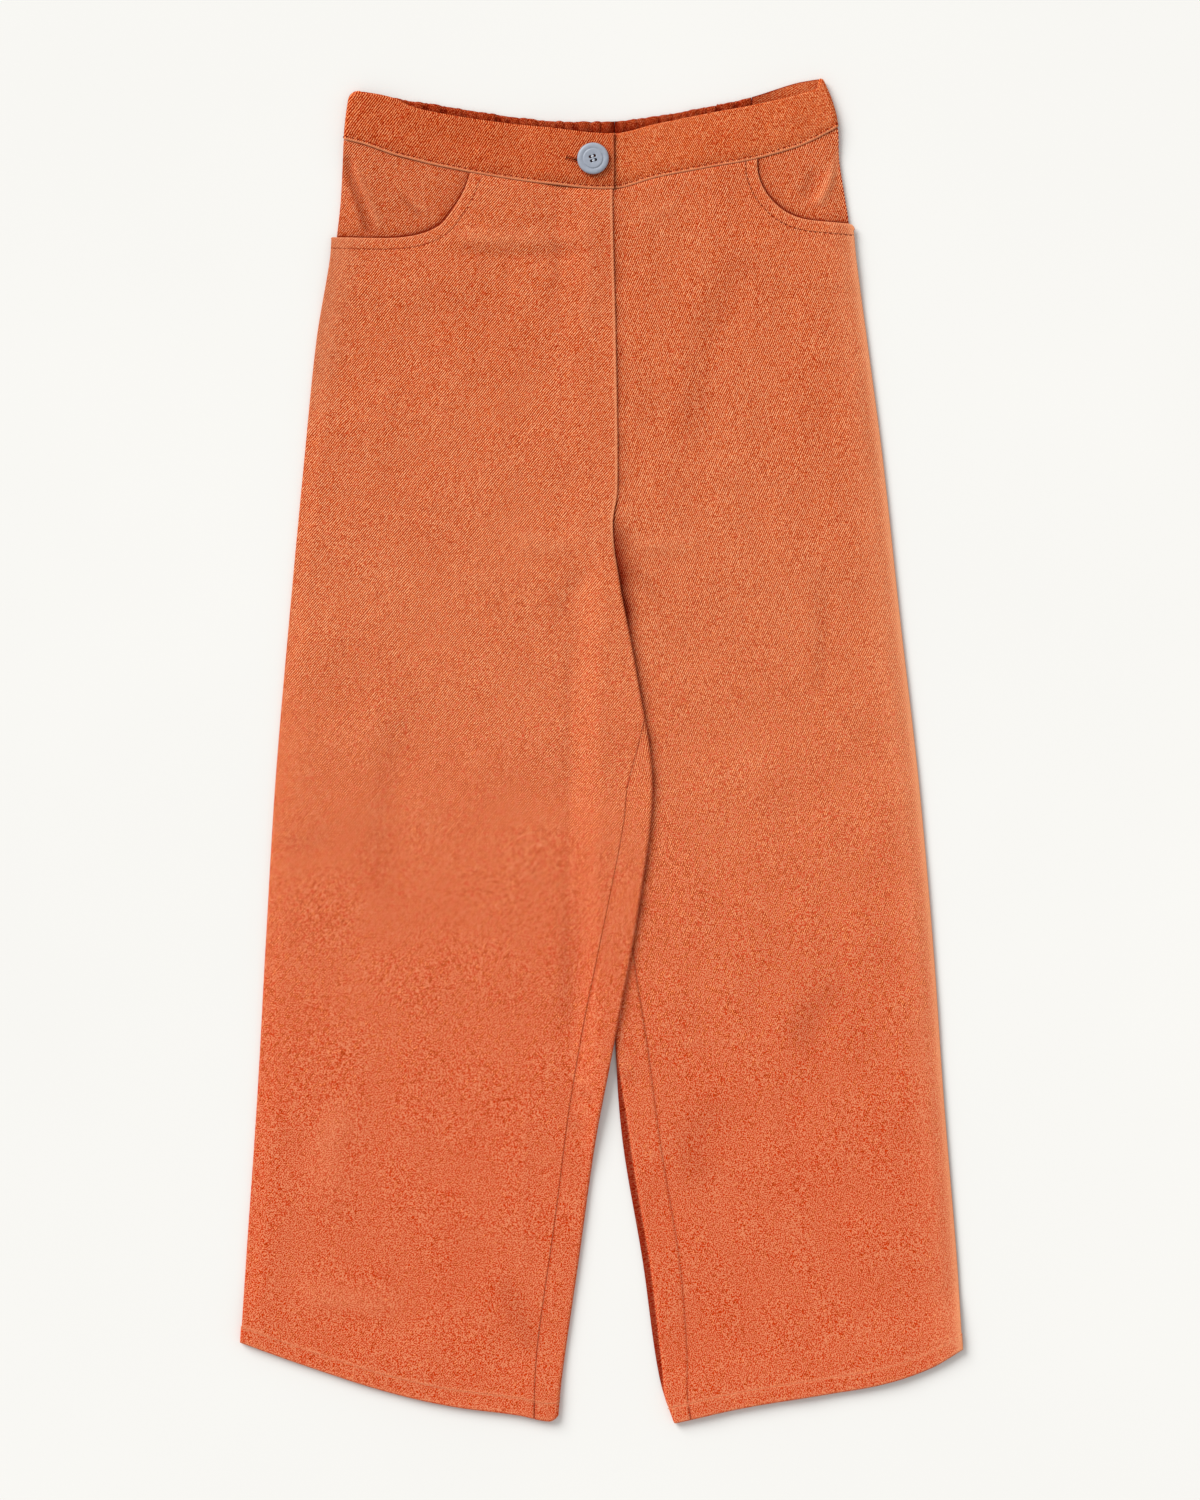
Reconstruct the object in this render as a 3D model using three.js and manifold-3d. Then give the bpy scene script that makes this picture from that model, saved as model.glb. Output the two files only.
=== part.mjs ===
// High-waisted, wide-leg, cropped trousers in cotton twill, laid flat on their back.
// Millimetres. +Y points to the waist, +X to the wearer's left, +Z up from the surface.
// Each cut piece of cloth is one closed wall. Its middle surface is a grid of points worked out
// from the outline tables below, and the wall stands half its thickness to either side.
import * as THREE from 'three';
import { mergeVertices } from 'three/addons/utils/BufferGeometryUtils.js';
import Module from 'manifold-3d';

const wasm = await Module();
wasm.setup();

// Driving dimensions.
const clothThickness = 1.2;
const hemThickness = 2.4;
const hemDepth = 12.5;
const hemSlope = 40; // height over which the front cloth comes down from the hem's lift
const hemLiftEdge = 2.2; // lift of the front cloth at the hem, at the outer seam
const hemLiftMiddle = 0.9; // and in the middle of the leg
const hemSink = 0.4; // the doubled hem lies this much lower than the cloth above it
const bandThickness = 2.4;
const bandHeight = 36;
const seamGap = 0.3;
const inseamGap = 0.42; // wider, as the seam turns round the fold there
const panelDrop = 0.5; // panel below the waistband seam
const layerRise = 3; // middle of the back cloth to the middle of the front cloth
const waistRise = 1.6; // extra height of the front cloth where it meets the waistband
const facingRise = 0.7; // the same for the hip facings
const riseLength = 60;
const edgeRoll = 14; // width over which the front rolls down to the outer seam
const lapRise = clothThickness + seamGap;
const pocketHide = 17; // how far a hip facing runs on behind the pocket mouth
const crotchY = 150;
const crotchOuterY = 290; // outer end of the row that starts at the crotch
const mouthInnerY = 262; // inner end of the row that starts at the pocket mouth's corner
const hipLevels = [212, 176]; // inner ends of the rows between the pocket mouth and the crotch
const backHipLevels = [206, 176];
const backTopLevels = [408, 372, 300]; // rows of the back that follow the waist
const backFlare = [330, 376]; // heights between which the back's edge leaves the hip facing's
const backSeamFoot = 190; // lowest height of the straight centre back seam
const waistCentreY = 409; // waist seam at the centre front
const waistSideY = 446; // waist seam at the side
const bandSideY = 468; // middle of the waistband at the side
const legOverlapRise = clothThickness + layerRise + seamGap;
const flyBottomY = 196;
const flyUnderlap = 9;
const bandFrontZ = 5.5; // middle of the front waistband
const bandBackZ = bandThickness / 2;
const bandLapRise = bandThickness + seamGap;
const bandUnderlap = 33;
const gatherPitch = 16.5;
const gatherHeight = 1.6;
const centreBackX = 10;
const elasticEndRight = -154;
const elasticEndLeft = 110;

const button = { x: -5.8, y: 430.8, radius: 11.5, thickness: 3.4, disc: 7.05, well: 0.5 };
const buttonHoles = { radius: 1.1, spacing: 3.1, turn: THREE.MathUtils.degToRad(16) };
const buttonhole = { left: -25, right: -3, width: 1.8 };
const threadRadius = 0.6;
const threadHeight = 0.45; // of the bars over the button
const shankLength = 1.3; // thread between the waistband and the button

const mix = THREE.MathUtils.lerp;
const clamp = THREE.MathUtils.clamp;
const ramp = (value, low, high) => THREE.MathUtils.smoothstep(value, low, high);

// A smooth curve through the rows of a table, as a function of the first column.
function curve(rows, column) {
  const points = rows.map((row) => [row[0], row[column]]).filter((point) => point[1] !== null);
  if (points[0][0] > points[points.length - 1][0]) points.reverse();
  const last = points.length - 1;
  const slope = (i) => {
    const a = points[Math.max(i - 1, 0)];
    const b = points[Math.min(i + 1, last)];
    return (b[1] - a[1]) / (b[0] - a[0]);
  };
  return (value) => {
    let i = 0;
    while (i < last - 1 && value > points[i + 1][0]) i += 1;
    const [x0, y0] = points[i];
    const [x1, y1] = points[i + 1];
    const span = x1 - x0;
    if (value < x0) return y0 + (value - x0) * slope(0);
    if (value > x1) return y1 + (value - x1) * slope(last);
    const s = (value - x0) / span;
    const bend0 = slope(i) * span;
    const bend1 = slope(i + 1) * span;
    const s2 = s * s;
    const s3 = s2 * s;
    return y0 * (2 * s3 - 3 * s2 + 1) + bend0 * (s3 - 2 * s2 + s)
      + y1 * (3 * s2 - 2 * s3) + bend1 * (s3 - s2);
  };
}

// Outer edges of the leg panels and of the hip facings above them.
// columns: y, right panel x, left panel x
const outerRows = [
  [378, -196.4, 184.6],
  [358, -197.8, 186.4],
  [300, -207.5, 194.2],
  [212, -216.5, 205.8],
  [95, -227.5, 218.5],
  [-22, -237.5, 232],
  [-138, -244.5, 242.4],
  [-255, -251, 250.6],
  [-372, -259, 260],
  [-436, -263, 263.6],
];
// columns: y, right side x, left side x
const sideRows = [
  [491, -181.5, 162.8],
  [475, -184.5, 168.6],
  [455, -187, 172.8],
  [431, -188.3, 173.8],
  [402, -189.8, 178.2],
  [386, -191.4, 180.6],
  [340, -197, 184],
];
// Inner edges: the centre front above the crotch and the leg folds below it.
// columns: y, right leg x, left leg x
const innerRows = [
  [450, 11, null],
  [409, 8.6, null],
  [300, 11, null],
  [190, 12.2, null],
  [168, 9, 9.8],
  [150, 9.6, 10.8],
  [128, 13, 14.2],
  [112, 15.6, 15.6],
  [60, 25.6, 10.5],
  [-24, 37.6, 9.5],
  [-109, 28.5, 9.5],
  [-212, 10, 10.2],
  [-284, -3.7, 15.3],
  [-372, -16.2, 30],
  [-458, -28.5, 42.4],
  [-491, -31.5, 53.5],
];
// The back panel turns round the inner fold and meets the front at the inseam.
// columns: y, width of the turned strip on the right leg, on the left leg
const stripRows = [
  [24, 0, 0],
  [-24, 17.6, 0],
  [-50, 19.5, 0],
  [-100, 22, 7],
  [-146, 24, 13.5],
  [-219, 24.6, 24],
  [-313, 21.5, 28],
  [-430, 21, 24],
  [-490, 17, 13],
];
// columns: x, top of the front waistband, top of the back waistband, seam under the waistband
const waistRows = [
  [-190, 480.5, 481.5, 446],
  [-172, 480, 480.6, 441.5],
  [-152, 476, 476.4, 434.5],
  [-138, 469.6, 473.8, 430.8],
  [-120, 465.2, 471.2, 426.3],
  [-80, 458.8, 464.6, 418.6],
  [-40, 454.2, 459.6, 412.9],
  [9, 449.8, 459, 409.2],
  [40, 456.8, 462.8, 417.4],
  [80, 464.9, 469.8, 425],
  [110, 470.4, 476.8, 430.4],
  [141, 477.4, 486.6, 439],
  [154, 481.4, 489.2, 444.4],
  [160, 484.2, 490, 447.4],
  [164, 488.6, 490.4, 449.6],
  [175, 494, 491.5, 455.5],
];
// columns: x, hem of the right leg, hem of the left leg
const hemRightRows = [
  [-263, -432],
  [-216, -448.5],
  [-158, -466.8],
  [-110, -477.6],
  [-60, -484],
  [-38, -488.2],
  [-26, -486],
];
const hemLeftRows = [
  [52, -491],
  [104, -479.5],
  [164, -469.8],
  [206, -462.4],
  [240, -451],
  [264, -437],
];
// The curved pocket mouths, from the waistband to the side.
const mouthRight = [[-95.6, 419.6], [-100, 408], [-107, 396], [-117, 383.5], [-131, 376.8],
  [-148, 374], [-170, 373.8], [-196.4, 374.4]];
const mouthLeft = [[113.9, 429.6], [114.8, 420], [118.6, 410], [125, 401], [135, 392.6],
  [148, 387.6], [164, 385.6], [184.7, 384]];

const frontTop = curve(waistRows, 1);
const backTop = curve(waistRows, 2);
const waistSeam = curve(waistRows, 3);
const backSeam = (x) => backTop(x) - bandHeight;

// Shares of the way from the outer edge to the inner fold, closest where the right leg climbs.
const rightShares = [0, 0.07, 0.2, 0.37, 0.52, 0.64, 0.73, 0.79, 0.83, 0.87, 0.91, 0.95, 1];
const leftShares = [0, 0.07, 0.18, 0.32, 0.46, 0.6, 0.74, 0.86, 0.95, 1];

// Heights at which the rows of a leg panel meet its inner edge, closest where the inseam comes
// up over the fold.
const rightLevels = [150, 134, 118, 92, 60, 24, 15, 0, -24, -66, -109, -160, -212, -255, -320, -390];
const leftLevels = [150, 134, 118, 92, 24, -40, -51, -57, -63, -70, -88, -118, -160, -212, -255, -320, -390];

// One side of the garment. outward is the sign of x at its outer edge.
const makeSide = (column, outward, hemRows, mouthPoints, levels, shares) => {
  const mouthCurve = new THREE.CatmullRomCurve3(
    mouthPoints.map(([x, y]) => new THREE.Vector3(x, y, 0)),
  );
  return {
    outward,
    levels,
    shares,
    panelEdge: curve(outerRows, column),
    sideEdge: curve(sideRows, column),
    inner: curve(innerRows, column),
    strip: curve(stripRows, column),
    hem: curve(hemRows, 1),
    hemSpan: hemRows.map((row) => row[0]).sort((a, b) => outward * (b - a)),
    mouth: (u) => mouthCurve.getPointAt(clamp(u, 0, 1)),
    mouthSamples: mouthCurve.getSpacedPoints(24),
  };
};
const right = makeSide(1, -1, hemRightRows, mouthRight, rightLevels, rightShares);
const left = makeSide(2, 1, hemLeftRows, mouthLeft, leftLevels, leftShares);

// Heights of the layers.
const wall = (side, x, y) => {
  const aboveHem = y - side.hem(x);
  return mix(hemThickness, clothThickness, ramp(aboveHem, hemDepth - 0.5, hemDepth + 1));
};
// The right leg climbs over the left leg between the crotch and the knee.
const legClimb = (y) => 1 - ramp(y, crotchY - 32, crotchY + 12);
const climbRamp = (x, y) => ramp(x, left.inner(y) - 32, left.inner(y) - 8);
const lift = (side, x, y) => (side === right ? legOverlapRise * climbRamp(x, y) * legClimb(y) : 0);
const backZ = (side, x, y) => wall(side, x, y) / 2 + lift(side, x, y);

const nearMouth = (side, x, y) => {
  const point = new THREE.Vector3(x, y, 0);
  const distance = Math.min(...side.mouthSamples.map((sample) => sample.distanceTo(point)));
  return 1 - ramp(distance, pocketHide + 14, pocketHide + 50);
};
const upperBase = (x, y, rise) => {
  const belowWaist = waistSeam(x) - y;
  return clothThickness / 2 + layerRise + rise * (1 - ramp(belowWaist, 0, riseLength));
};
const facingZ = (side, x, y) => {
  const fromEdge = side.outward * (side.sideEdge(y) - x);
  const edge = 1.5 * clothThickness + seamGap;
  return mix(edge, upperBase(x, y, facingRise), ramp(fromEdge, 0, edgeRoll));
};
const frontZ = (side, x, y) => {
  const near = nearMouth(side, x, y);
  const double = (wall(side, x, y) - clothThickness) / (hemThickness - clothThickness);
  const nearHem = 1 - ramp(y - side.hem(x), hemDepth, hemDepth + hemSlope);
  const fromEdge = side.outward * (side.panelEdge(Math.min(y, 378)) - x);
  const base = mix(upperBase(x, y, waistRise), upperBase(x, y, facingRise) + lapRise, near);
  const edge = 1.5 * clothThickness + seamGap + lapRise * near;
  const roll = ramp(fromEdge, 0, edgeRoll);
  const flat = mix(edge, base, roll) + mix(hemLiftEdge, hemLiftMiddle, roll) * nearHem - hemSink * double;
  if (side === left) return flat;
  const lap = lapRise * ramp(x, -34, -8);
  const climb = legOverlapRise * climbRamp(x, y);
  return flat + mix(lap, climb, legClimb(y));
};

// The inner fold of a leg in one cross-section: an upper and a lower layer joined by a half
// circle. Distances run along the cloth from where the half circle starts.
const foldAt = (side, edgeX, y) => {
  const inward = -side.outward;
  let centreX = edgeX - inward * 2.2;
  const high = frontZ(side, centreX, y);
  const low = backZ(side, centreX, y);
  const radius = (high - low) / 2;
  centreX = edgeX - inward * (radius + wall(side, centreX, y) / 2);
  const bent = 1 - ramp(y, crotchY - 8, crotchY + 14);
  return { inward, centreX, radius, middle: (high + low) / 2, bent };
};
// Where the inseam lies, as a distance past the start of the half circle from above.
const seamOnFold = (fold, strip, thickness) => {
  const reach = thickness / 2 + fold.radius;
  const middle = Math.PI * fold.radius / 2;
  if (strip > reach) return reach - strip;
  return mix(middle, 0, Math.max(strip, 0) / reach);
};
const alongFold = (side, fold, distance, fromAbove, y) => {
  const sign = fromAbove ? 1 : -1;
  const straightX = fold.centreX + fold.inward * distance;
  const layerZ = fromAbove ? frontZ : backZ;
  if (distance <= 0) return [straightX, layerZ(side, straightX, y)];
  const length = Math.PI * fold.radius;
  const flatZ = layerZ(side, fold.centreX, y);
  if (distance > length) {
    const x = fold.centreX - fold.inward * (distance - length);
    return [x, fromAbove ? backZ(side, x, y) : frontZ(side, x, y)];
  }
  const angle = distance / fold.radius;
  const bentX = fold.centreX + fold.inward * fold.radius * Math.sin(angle);
  const bentZ = fold.middle + sign * fold.radius * Math.cos(angle);
  return [mix(straightX, bentX, fold.bent), mix(flatZ, bentZ, fold.bent)];
};

// A closed wall round a grid of middle points.
function clothWall(grid, thicknessAt) {
  const rows = grid.length;
  const columns = grid[0].length;
  const positions = [];
  const index = [];
  const across = new THREE.Vector3();
  const down = new THREE.Vector3();
  for (const face of [1, -1]) {
    for (let i = 0; i < rows; i += 1) {
      for (let j = 0; j < columns; j += 1) {
        across.subVectors(grid[i][Math.min(j + 1, columns - 1)], grid[i][Math.max(j - 1, 0)]);
        if (grid[i][j].across) across.copy(grid[i][j].across);
        down.subVectors(grid[Math.min(i + 1, rows - 1)][j], grid[Math.max(i - 1, 0)][j]);
        const normal = across.cross(down).normalize();
        const offset = face * thicknessAt(grid[i][j]) / 2;
        const point = grid[i][j].clone().addScaledVector(normal, offset);
        positions.push(point.x, point.y, point.z);
      }
    }
  }
  const at = (face, i, j) => face * rows * columns + i * columns + j;
  const quad = (a, b, c, d) => index.push(a, b, c, a, c, d);
  for (let i = 0; i < rows - 1; i += 1) {
    for (let j = 0; j < columns - 1; j += 1) {
      quad(at(0, i, j), at(0, i, j + 1), at(0, i + 1, j + 1), at(0, i + 1, j));
      quad(at(1, i, j), at(1, i + 1, j), at(1, i + 1, j + 1), at(1, i, j + 1));
    }
  }
  for (let j = 0; j < columns - 1; j += 1) {
    quad(at(0, 0, j), at(1, 0, j), at(1, 0, j + 1), at(0, 0, j + 1));
    quad(at(0, rows - 1, j + 1), at(1, rows - 1, j + 1), at(1, rows - 1, j), at(0, rows - 1, j));
  }
  for (let i = 0; i < rows - 1; i += 1) {
    quad(at(0, i + 1, 0), at(1, i + 1, 0), at(1, i, 0), at(0, i, 0));
    quad(at(0, i, columns - 1), at(1, i, columns - 1), at(1, i + 1, columns - 1),
      at(0, i + 1, columns - 1));
  }
  const geometry = new THREE.BufferGeometry();
  geometry.setAttribute('position', new THREE.Float32BufferAttribute(positions, 3));
  geometry.setIndex(index);
  if (signedVolume(geometry) < 0) {
    const flipped = Array.from(geometry.index.array);
    for (let k = 0; k < flipped.length; k += 3) {
      [flipped[k + 1], flipped[k + 2]] = [flipped[k + 2], flipped[k + 1]];
    }
    geometry.setIndex(flipped);
  }
  return geometry;
}

function signedVolume(geometry) {
  const place = geometry.attributes.position;
  const order = geometry.index;
  const corners = [new THREE.Vector3(), new THREE.Vector3(), new THREE.Vector3()];
  let total = 0;
  for (let k = 0; k < order.count; k += 3) {
    corners.forEach((corner, c) => corner.fromBufferAttribute(place, order.getX(k + c)));
    total += corners[0].dot(corners[1].cross(corners[2])) / 6;
  }
  return total;
}

const fractions = (count) => Array.from({ length: count + 1 }, (_, i) => i / count);
const hemLevels = [hemDepth + 1.5, hemDepth - 1, 0]; // rows above the hem

// Rows of a leg panel below its first level: both ends, and how far each row follows the hem.
function legRows(side, levels, outerTop) {
  const outerX = side.hemSpan[0];
  const innerX = side.hemSpan[side.hemSpan.length - 1];
  const hemOuter = side.hem(outerX);
  const hemInner = side.hem(innerX);
  const hemBow = (x) => {
    const along = clamp((x - outerX) / (innerX - outerX), 0, 1);
    return side.hem(x) - mix(hemOuter, hemInner, along);
  };
  const rows = levels.map((y) => {
    const aboveCrotch = (levels[0] - y) / (levels[0] - crotchY);
    const belowCrotch = clamp((crotchY - y) / (crotchY - hemInner), 0, 1);
    const outerY = y > crotchY
      ? mix(outerTop, crotchOuterY, aboveCrotch)
      : mix(crotchOuterY, hemOuter, belowCrotch);
    const follow = ramp(belowCrotch, 0.3, 1);
    return { outerY, innerY: y, bow: (x) => hemBow(x) * follow };
  });
  for (const above of hemLevels) {
    rows.push({ outerY: hemOuter + above, innerY: hemInner + above, bow: hemBow });
  }
  return rows;
}

// A row's height at x: between its two ends, plus what it borrows from the waist or the hem.
const rowHeight = (row, edgeX, x) => {
  const along = clamp((x - row.startX) / (edgeX - row.startX), 0, 1);
  return mix(row.outerY, row.innerY, along) + row.bow(x);
};

// One row of points. place gives a column's distance along the cloth from the fold.
function panelRow(side, row, edgeXAt, fromAbove, columns, place) {
  return columns.map((column) => {
    let y = row.innerY;
    let point = null;
    for (let pass = 0; pass < 4; pass += 1) {
      const fold = foldAt(side, edgeXAt(y), y);
      const distance = place(fold, y, row, column);
      const [x, z] = alongFold(side, fold, distance, fromAbove, y);
      point = new THREE.Vector3(x, y, z);
      const before = alongFold(side, fold, distance - 0.02, fromAbove, y);
      const after = alongFold(side, fold, distance + 0.02, fromAbove, y);
      point.across = new THREE.Vector3(after[0] - before[0], 0, after[1] - before[1]);
      y = rowHeight(row, edgeXAt(row.innerY), x);
    }
    point.y = y;
    return point;
  });
}

// Where a panel ends, as a distance past the start of its fold: at the inseam below the crotch,
// and at the panel's own centre edge above it.
const panelEnd = (side, fold, y, fromAbove) => {
  const seam = seamOnFold(fold, side.strip(y), wall(side, fold.centreX, y));
  const bentEnd = fromAbove ? seam : Math.PI * fold.radius - seam;
  const flatEnd = fold.radius + clothThickness / 2;
  return mix(flatEnd, bentEnd, fold.bent) - inseamGap / 2;
};

// Front leg panel: pocket mouth, outer seam, hem, inseam and centre front.
function frontPanel(side, centreFrontX) {
  const corner = side.mouth(1);
  const seamTop = side.mouth(0);
  const centreX = centreFrontX(waistCentreY);
  const centreTop = waistSeam(centreX) - panelDrop;
  const waistBow = (x) => {
    const along = clamp((x - seamTop.x) / (centreX - seamTop.x), 0, 1);
    const level = waistSeam(mix(seamTop.x, centreX, along)) - panelDrop;
    return level - mix(seamTop.y, centreTop, along);
  };
  const mouthStops = [0, 0.12, 0.25, 0.38, 0.52, 0.68, 0.84];
  const rows = mouthStops.map((stop) => {
    const { x: startX, y: outerY } = side.mouth(stop);
    const innerY = mix(centreTop, mouthInnerY, stop ** 0.8);
    return { startX, outerY, innerY, bow: (x) => waistBow(x) * (1 - stop) };
  });
  for (const row of legRows(side, [...hipLevels, ...side.levels], corner.y)) {
    const atCorner = row.outerY === corner.y;
    rows.push({ startX: atCorner ? corner.x : side.panelEdge(row.outerY), ...row });
  }
  const columns = [...side.shares, 1.45, 1.8, 2];
  const place = (fold, y, row, column) => {
    const end = panelEnd(side, fold, y, true);
    const turn = Math.min(end, 0) - 3;
    if (column > 1) return mix(turn, end, column - 1);
    return mix(-Math.abs(fold.centreX - row.startX), turn, column);
  };
  return rows.map((row) => panelRow(side, row, centreFrontX, true, columns, place));
}

// Back leg panel: under the whole leg, round the inner fold and up to the inseam.
function backPanel(side, edgeXAt) {
  const outerTop = backSeam(side.sideEdge(waistSideY)) - panelDrop;
  const rows = legRows(side, [...backTopLevels, ...backHipLevels, ...side.levels], outerTop);
  const outerX = (y) => mix(side.panelEdge(y), side.sideEdge(y), ramp(y, ...backFlare));
  rows.forEach((row) => {
    row.startX = outerX(row.outerY);
  });
  const topRow = rows[0];
  backTopLevels.forEach((level, i) => {
    const follow = 1 - i / backTopLevels.length;
    rows[i].bow = (x) => {
      const along = clamp((x - topRow.startX) / (centreBackX - topRow.startX), 0, 1);
      return (backSeam(x) - panelDrop - mix(outerTop, backTopLevels[0], along)) * follow;
    };
  });
  const columns = [...side.shares, 1.18, 1.36, 1.54, 1.72, 1.86, 2];
  const place = (fold, y, row, column) => {
    const end = panelEnd(side, fold, y, false);
    if (column <= 1) return mix(-Math.abs(fold.centreX - row.startX), 0, column);
    const round = Math.min(Math.PI * fold.radius, 0.7 * end);
    if (column <= 1.72) return round * (column - 1) / 0.72;
    return mix(round, end, (column - 1.72) / 0.28);
  };
  return rows.map((row) => panelRow(side, row, edgeXAt, false, columns, place));
}

// Hip facing: the cloth seen inside the pocket mouth, between the waistband and the side.
function hipFacing(side) {
  const count = 10;
  const cornerX = side.sideEdge(waistSeam(side.sideEdge(waistSideY)));
  const corner = new THREE.Vector2(cornerX, waistSeam(cornerX) - panelDrop);
  const hidden = fractions(count).map((u) => {
    const here = side.mouth(u);
    const next = side.mouth(Math.min(u + 0.02, 1)).sub(side.mouth(Math.max(u - 0.02, 0)));
    const away = new THREE.Vector2(side.outward * next.y, -side.outward * next.x).normalize();
    return new THREE.Vector2(here.x, here.y).addScaledVector(away, pocketHide);
  });
  const topX = hidden[0].x;
  hidden[0].y = waistSeam(topX) - panelDrop;
  const endY = hidden[count].y;
  hidden[count].x = side.sideEdge(endY);
  const half = count / 2;
  return hidden.map((inside, k) => {
    const outside = new THREE.Vector2();
    if (k <= half) {
      outside.x = mix(topX, corner.x, k / half);
      outside.y = waistSeam(outside.x) - panelDrop;
    } else {
      outside.y = mix(corner.y, endY, (k - half) / (count - half));
      outside.x = side.sideEdge(outside.y);
    }
    if (k === 0) outside.set(topX + side.outward * 3, waistSeam(topX + side.outward * 3) - panelDrop);
    if (k === count) outside.set(side.sideEdge(endY + 3), endY + 3);
    return fractions(4).map((v) => {
      const point = inside.clone().lerp(outside, v);
      return new THREE.Vector3(point.x, point.y, facingZ(side, point.x, point.y));
    });
  });
}

// Front waistband: along the front, round the side, and on to the elastic at the back.
function frontBand(side, startX, elasticEnd) {
  return fractions(3).map((v) => {
    const sideX = side.sideEdge(bandSideY);
    const foldY = mix(frontTop(sideX), waistSeam(sideX), v);
    const foldX = side.sideEdge(foldY);
    const radius = (bandFrontZ - bandBackZ) / 2;
    const centreX = foldX - side.outward * (radius + bandThickness / 2);
    const points = [];
    const put = (x, z, back) => {
      const y = mix(mix(frontTop(x), waistSeam(x), v), mix(backTop(x), backSeam(x), v), back);
      points.push(new THREE.Vector3(x, y, z));
    };
    for (const u of fractions(14)) {
      const x = mix(startX, centreX, u);
      const lapped = side === right ? bandLapRise * ramp(x, -62, -32) : 0;
      put(x, bandFrontZ + lapped, 0);
    }
    for (const turn of [0.2, 0.4, 0.6, 0.8, 1]) {
      const angle = Math.PI * turn;
      const x = centreX + side.outward * radius * Math.sin(angle);
      put(x, bandBackZ + radius * (1 + Math.cos(angle)), turn);
    }
    const end = elasticEnd + side.outward * seamGap / 2;
    for (const u of [0.25, 0.5, 0.75, 1]) put(mix(centreX, end, u), bandBackZ, 1);
    return points;
  });
}

// Half of the elasticated back waistband, gathered between the centre back and its end.
function elasticBand(endX, side) {
  const start = centreBackX + side.outward * seamGap / 2;
  const end = endX - side.outward * seamGap / 2;
  const gathers = Math.round(Math.abs(end - start) / gatherPitch);
  const columns = fractions(gathers * 5);
  return fractions(2).map((v) => columns.map((u) => {
    const x = mix(start, end, u);
    const fade = ramp(u, 0.02, 0.06) * (1 - ramp(u, 0.93, 0.98));
    const uneven = 0.16 * Math.sin(5 * Math.PI * u);
    const wave = 0.5 - 0.5 * Math.cos(2 * Math.PI * gathers * u + uneven);
    const z = bandBackZ + gatherHeight * wave * fade;
    return new THREE.Vector3(x, mix(backTop(x), backSeam(x), v), z);
  }));
}

const toSolid = (geometry) => {
  const plain = geometry.clone();
  plain.deleteAttribute('normal');
  plain.deleteAttribute('uv');
  const merged = mergeVertices(plain, 1e-4);
  return new wasm.Manifold(new wasm.Mesh({
    numProp: 3,
    vertProperties: new Float32Array(merged.attributes.position.array),
    triVerts: new Uint32Array(merged.index.array),
  }));
};
const toGeometry = (solid) => {
  const mesh = solid.getMesh();
  const geometry = new THREE.BufferGeometry();
  geometry.setAttribute('position', new THREE.BufferAttribute(mesh.vertProperties, 3));
  geometry.setIndex(new THREE.BufferAttribute(mesh.triVerts, 1));
  return geometry;
};
const upright = (radius, height, segments) => {
  return new THREE.CylinderGeometry(radius, radius, height, segments).rotateX(Math.PI / 2);
};

// The slot that the button passes through, cut in the lapped end of the waistband.
function withButtonhole(geometry) {
  const { left: from, right: to, width } = buttonhole;
  const slot = new THREE.BoxGeometry(to - from, width, 4 * bandThickness);
  slot.translate((from + to) / 2, button.y, bandFrontZ + bandLapRise);
  return toGeometry(toSolid(geometry).subtract(toSolid(slot)));
}

const bandTopAtButton = bandFrontZ + bandLapRise + bandThickness / 2;
const buttonBase = bandTopAtButton + shankLength;
const holeOffset = buttonHoles.spacing / 2;
const onButton = (x, y) => {
  const place = new THREE.Vector2(x, y).rotateAround(new THREE.Vector2(), buttonHoles.turn);
  return [button.x + place.x, button.y + place.y];
};
const holePlaces = [[-1, -1], [1, -1], [1, 1], [-1, 1]].map(([sx, sy]) => (
  onButton(sx * holeOffset, sy * holeOffset)
));

// Four-hole button: a rounded rim, a small step down inside it, and a slightly hollow disc.
function buttonGeometry() {
  const { radius, thickness, disc: inner, well } = button;
  const profile = [
    [0, 0],
    [radius - 1.6, 0],
    [radius - 0.6, 0.7],
    [radius, 1.7],
    [radius - 0.7, thickness - 0.4],
    [radius - 1.6, thickness - 0.15],
    [inner + 1, thickness - 0.3],
    [inner + 0.4, thickness - 0.6],
    [inner + 0.15, thickness - 0.6],
    [inner - 0.15, thickness - 0.1],
    [inner - 0.65, thickness],
    [inner - 3.4, thickness - well / 2],
    [inner - 4.4, thickness - well],
    [0, thickness - well],
  ].map(([x, y]) => new THREE.Vector2(x, y));
  const disc = new THREE.LatheGeometry(profile, 32).rotateX(Math.PI / 2);
  disc.translate(button.x, button.y, buttonBase);
  let solid = toSolid(disc);
  for (const [x, y] of holePlaces) {
    const drill = upright(buttonHoles.radius, 4 * thickness, 12).translate(x, y, buttonBase);
    solid = solid.subtract(toSolid(drill));
  }
  return toGeometry(solid);
}

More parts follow.
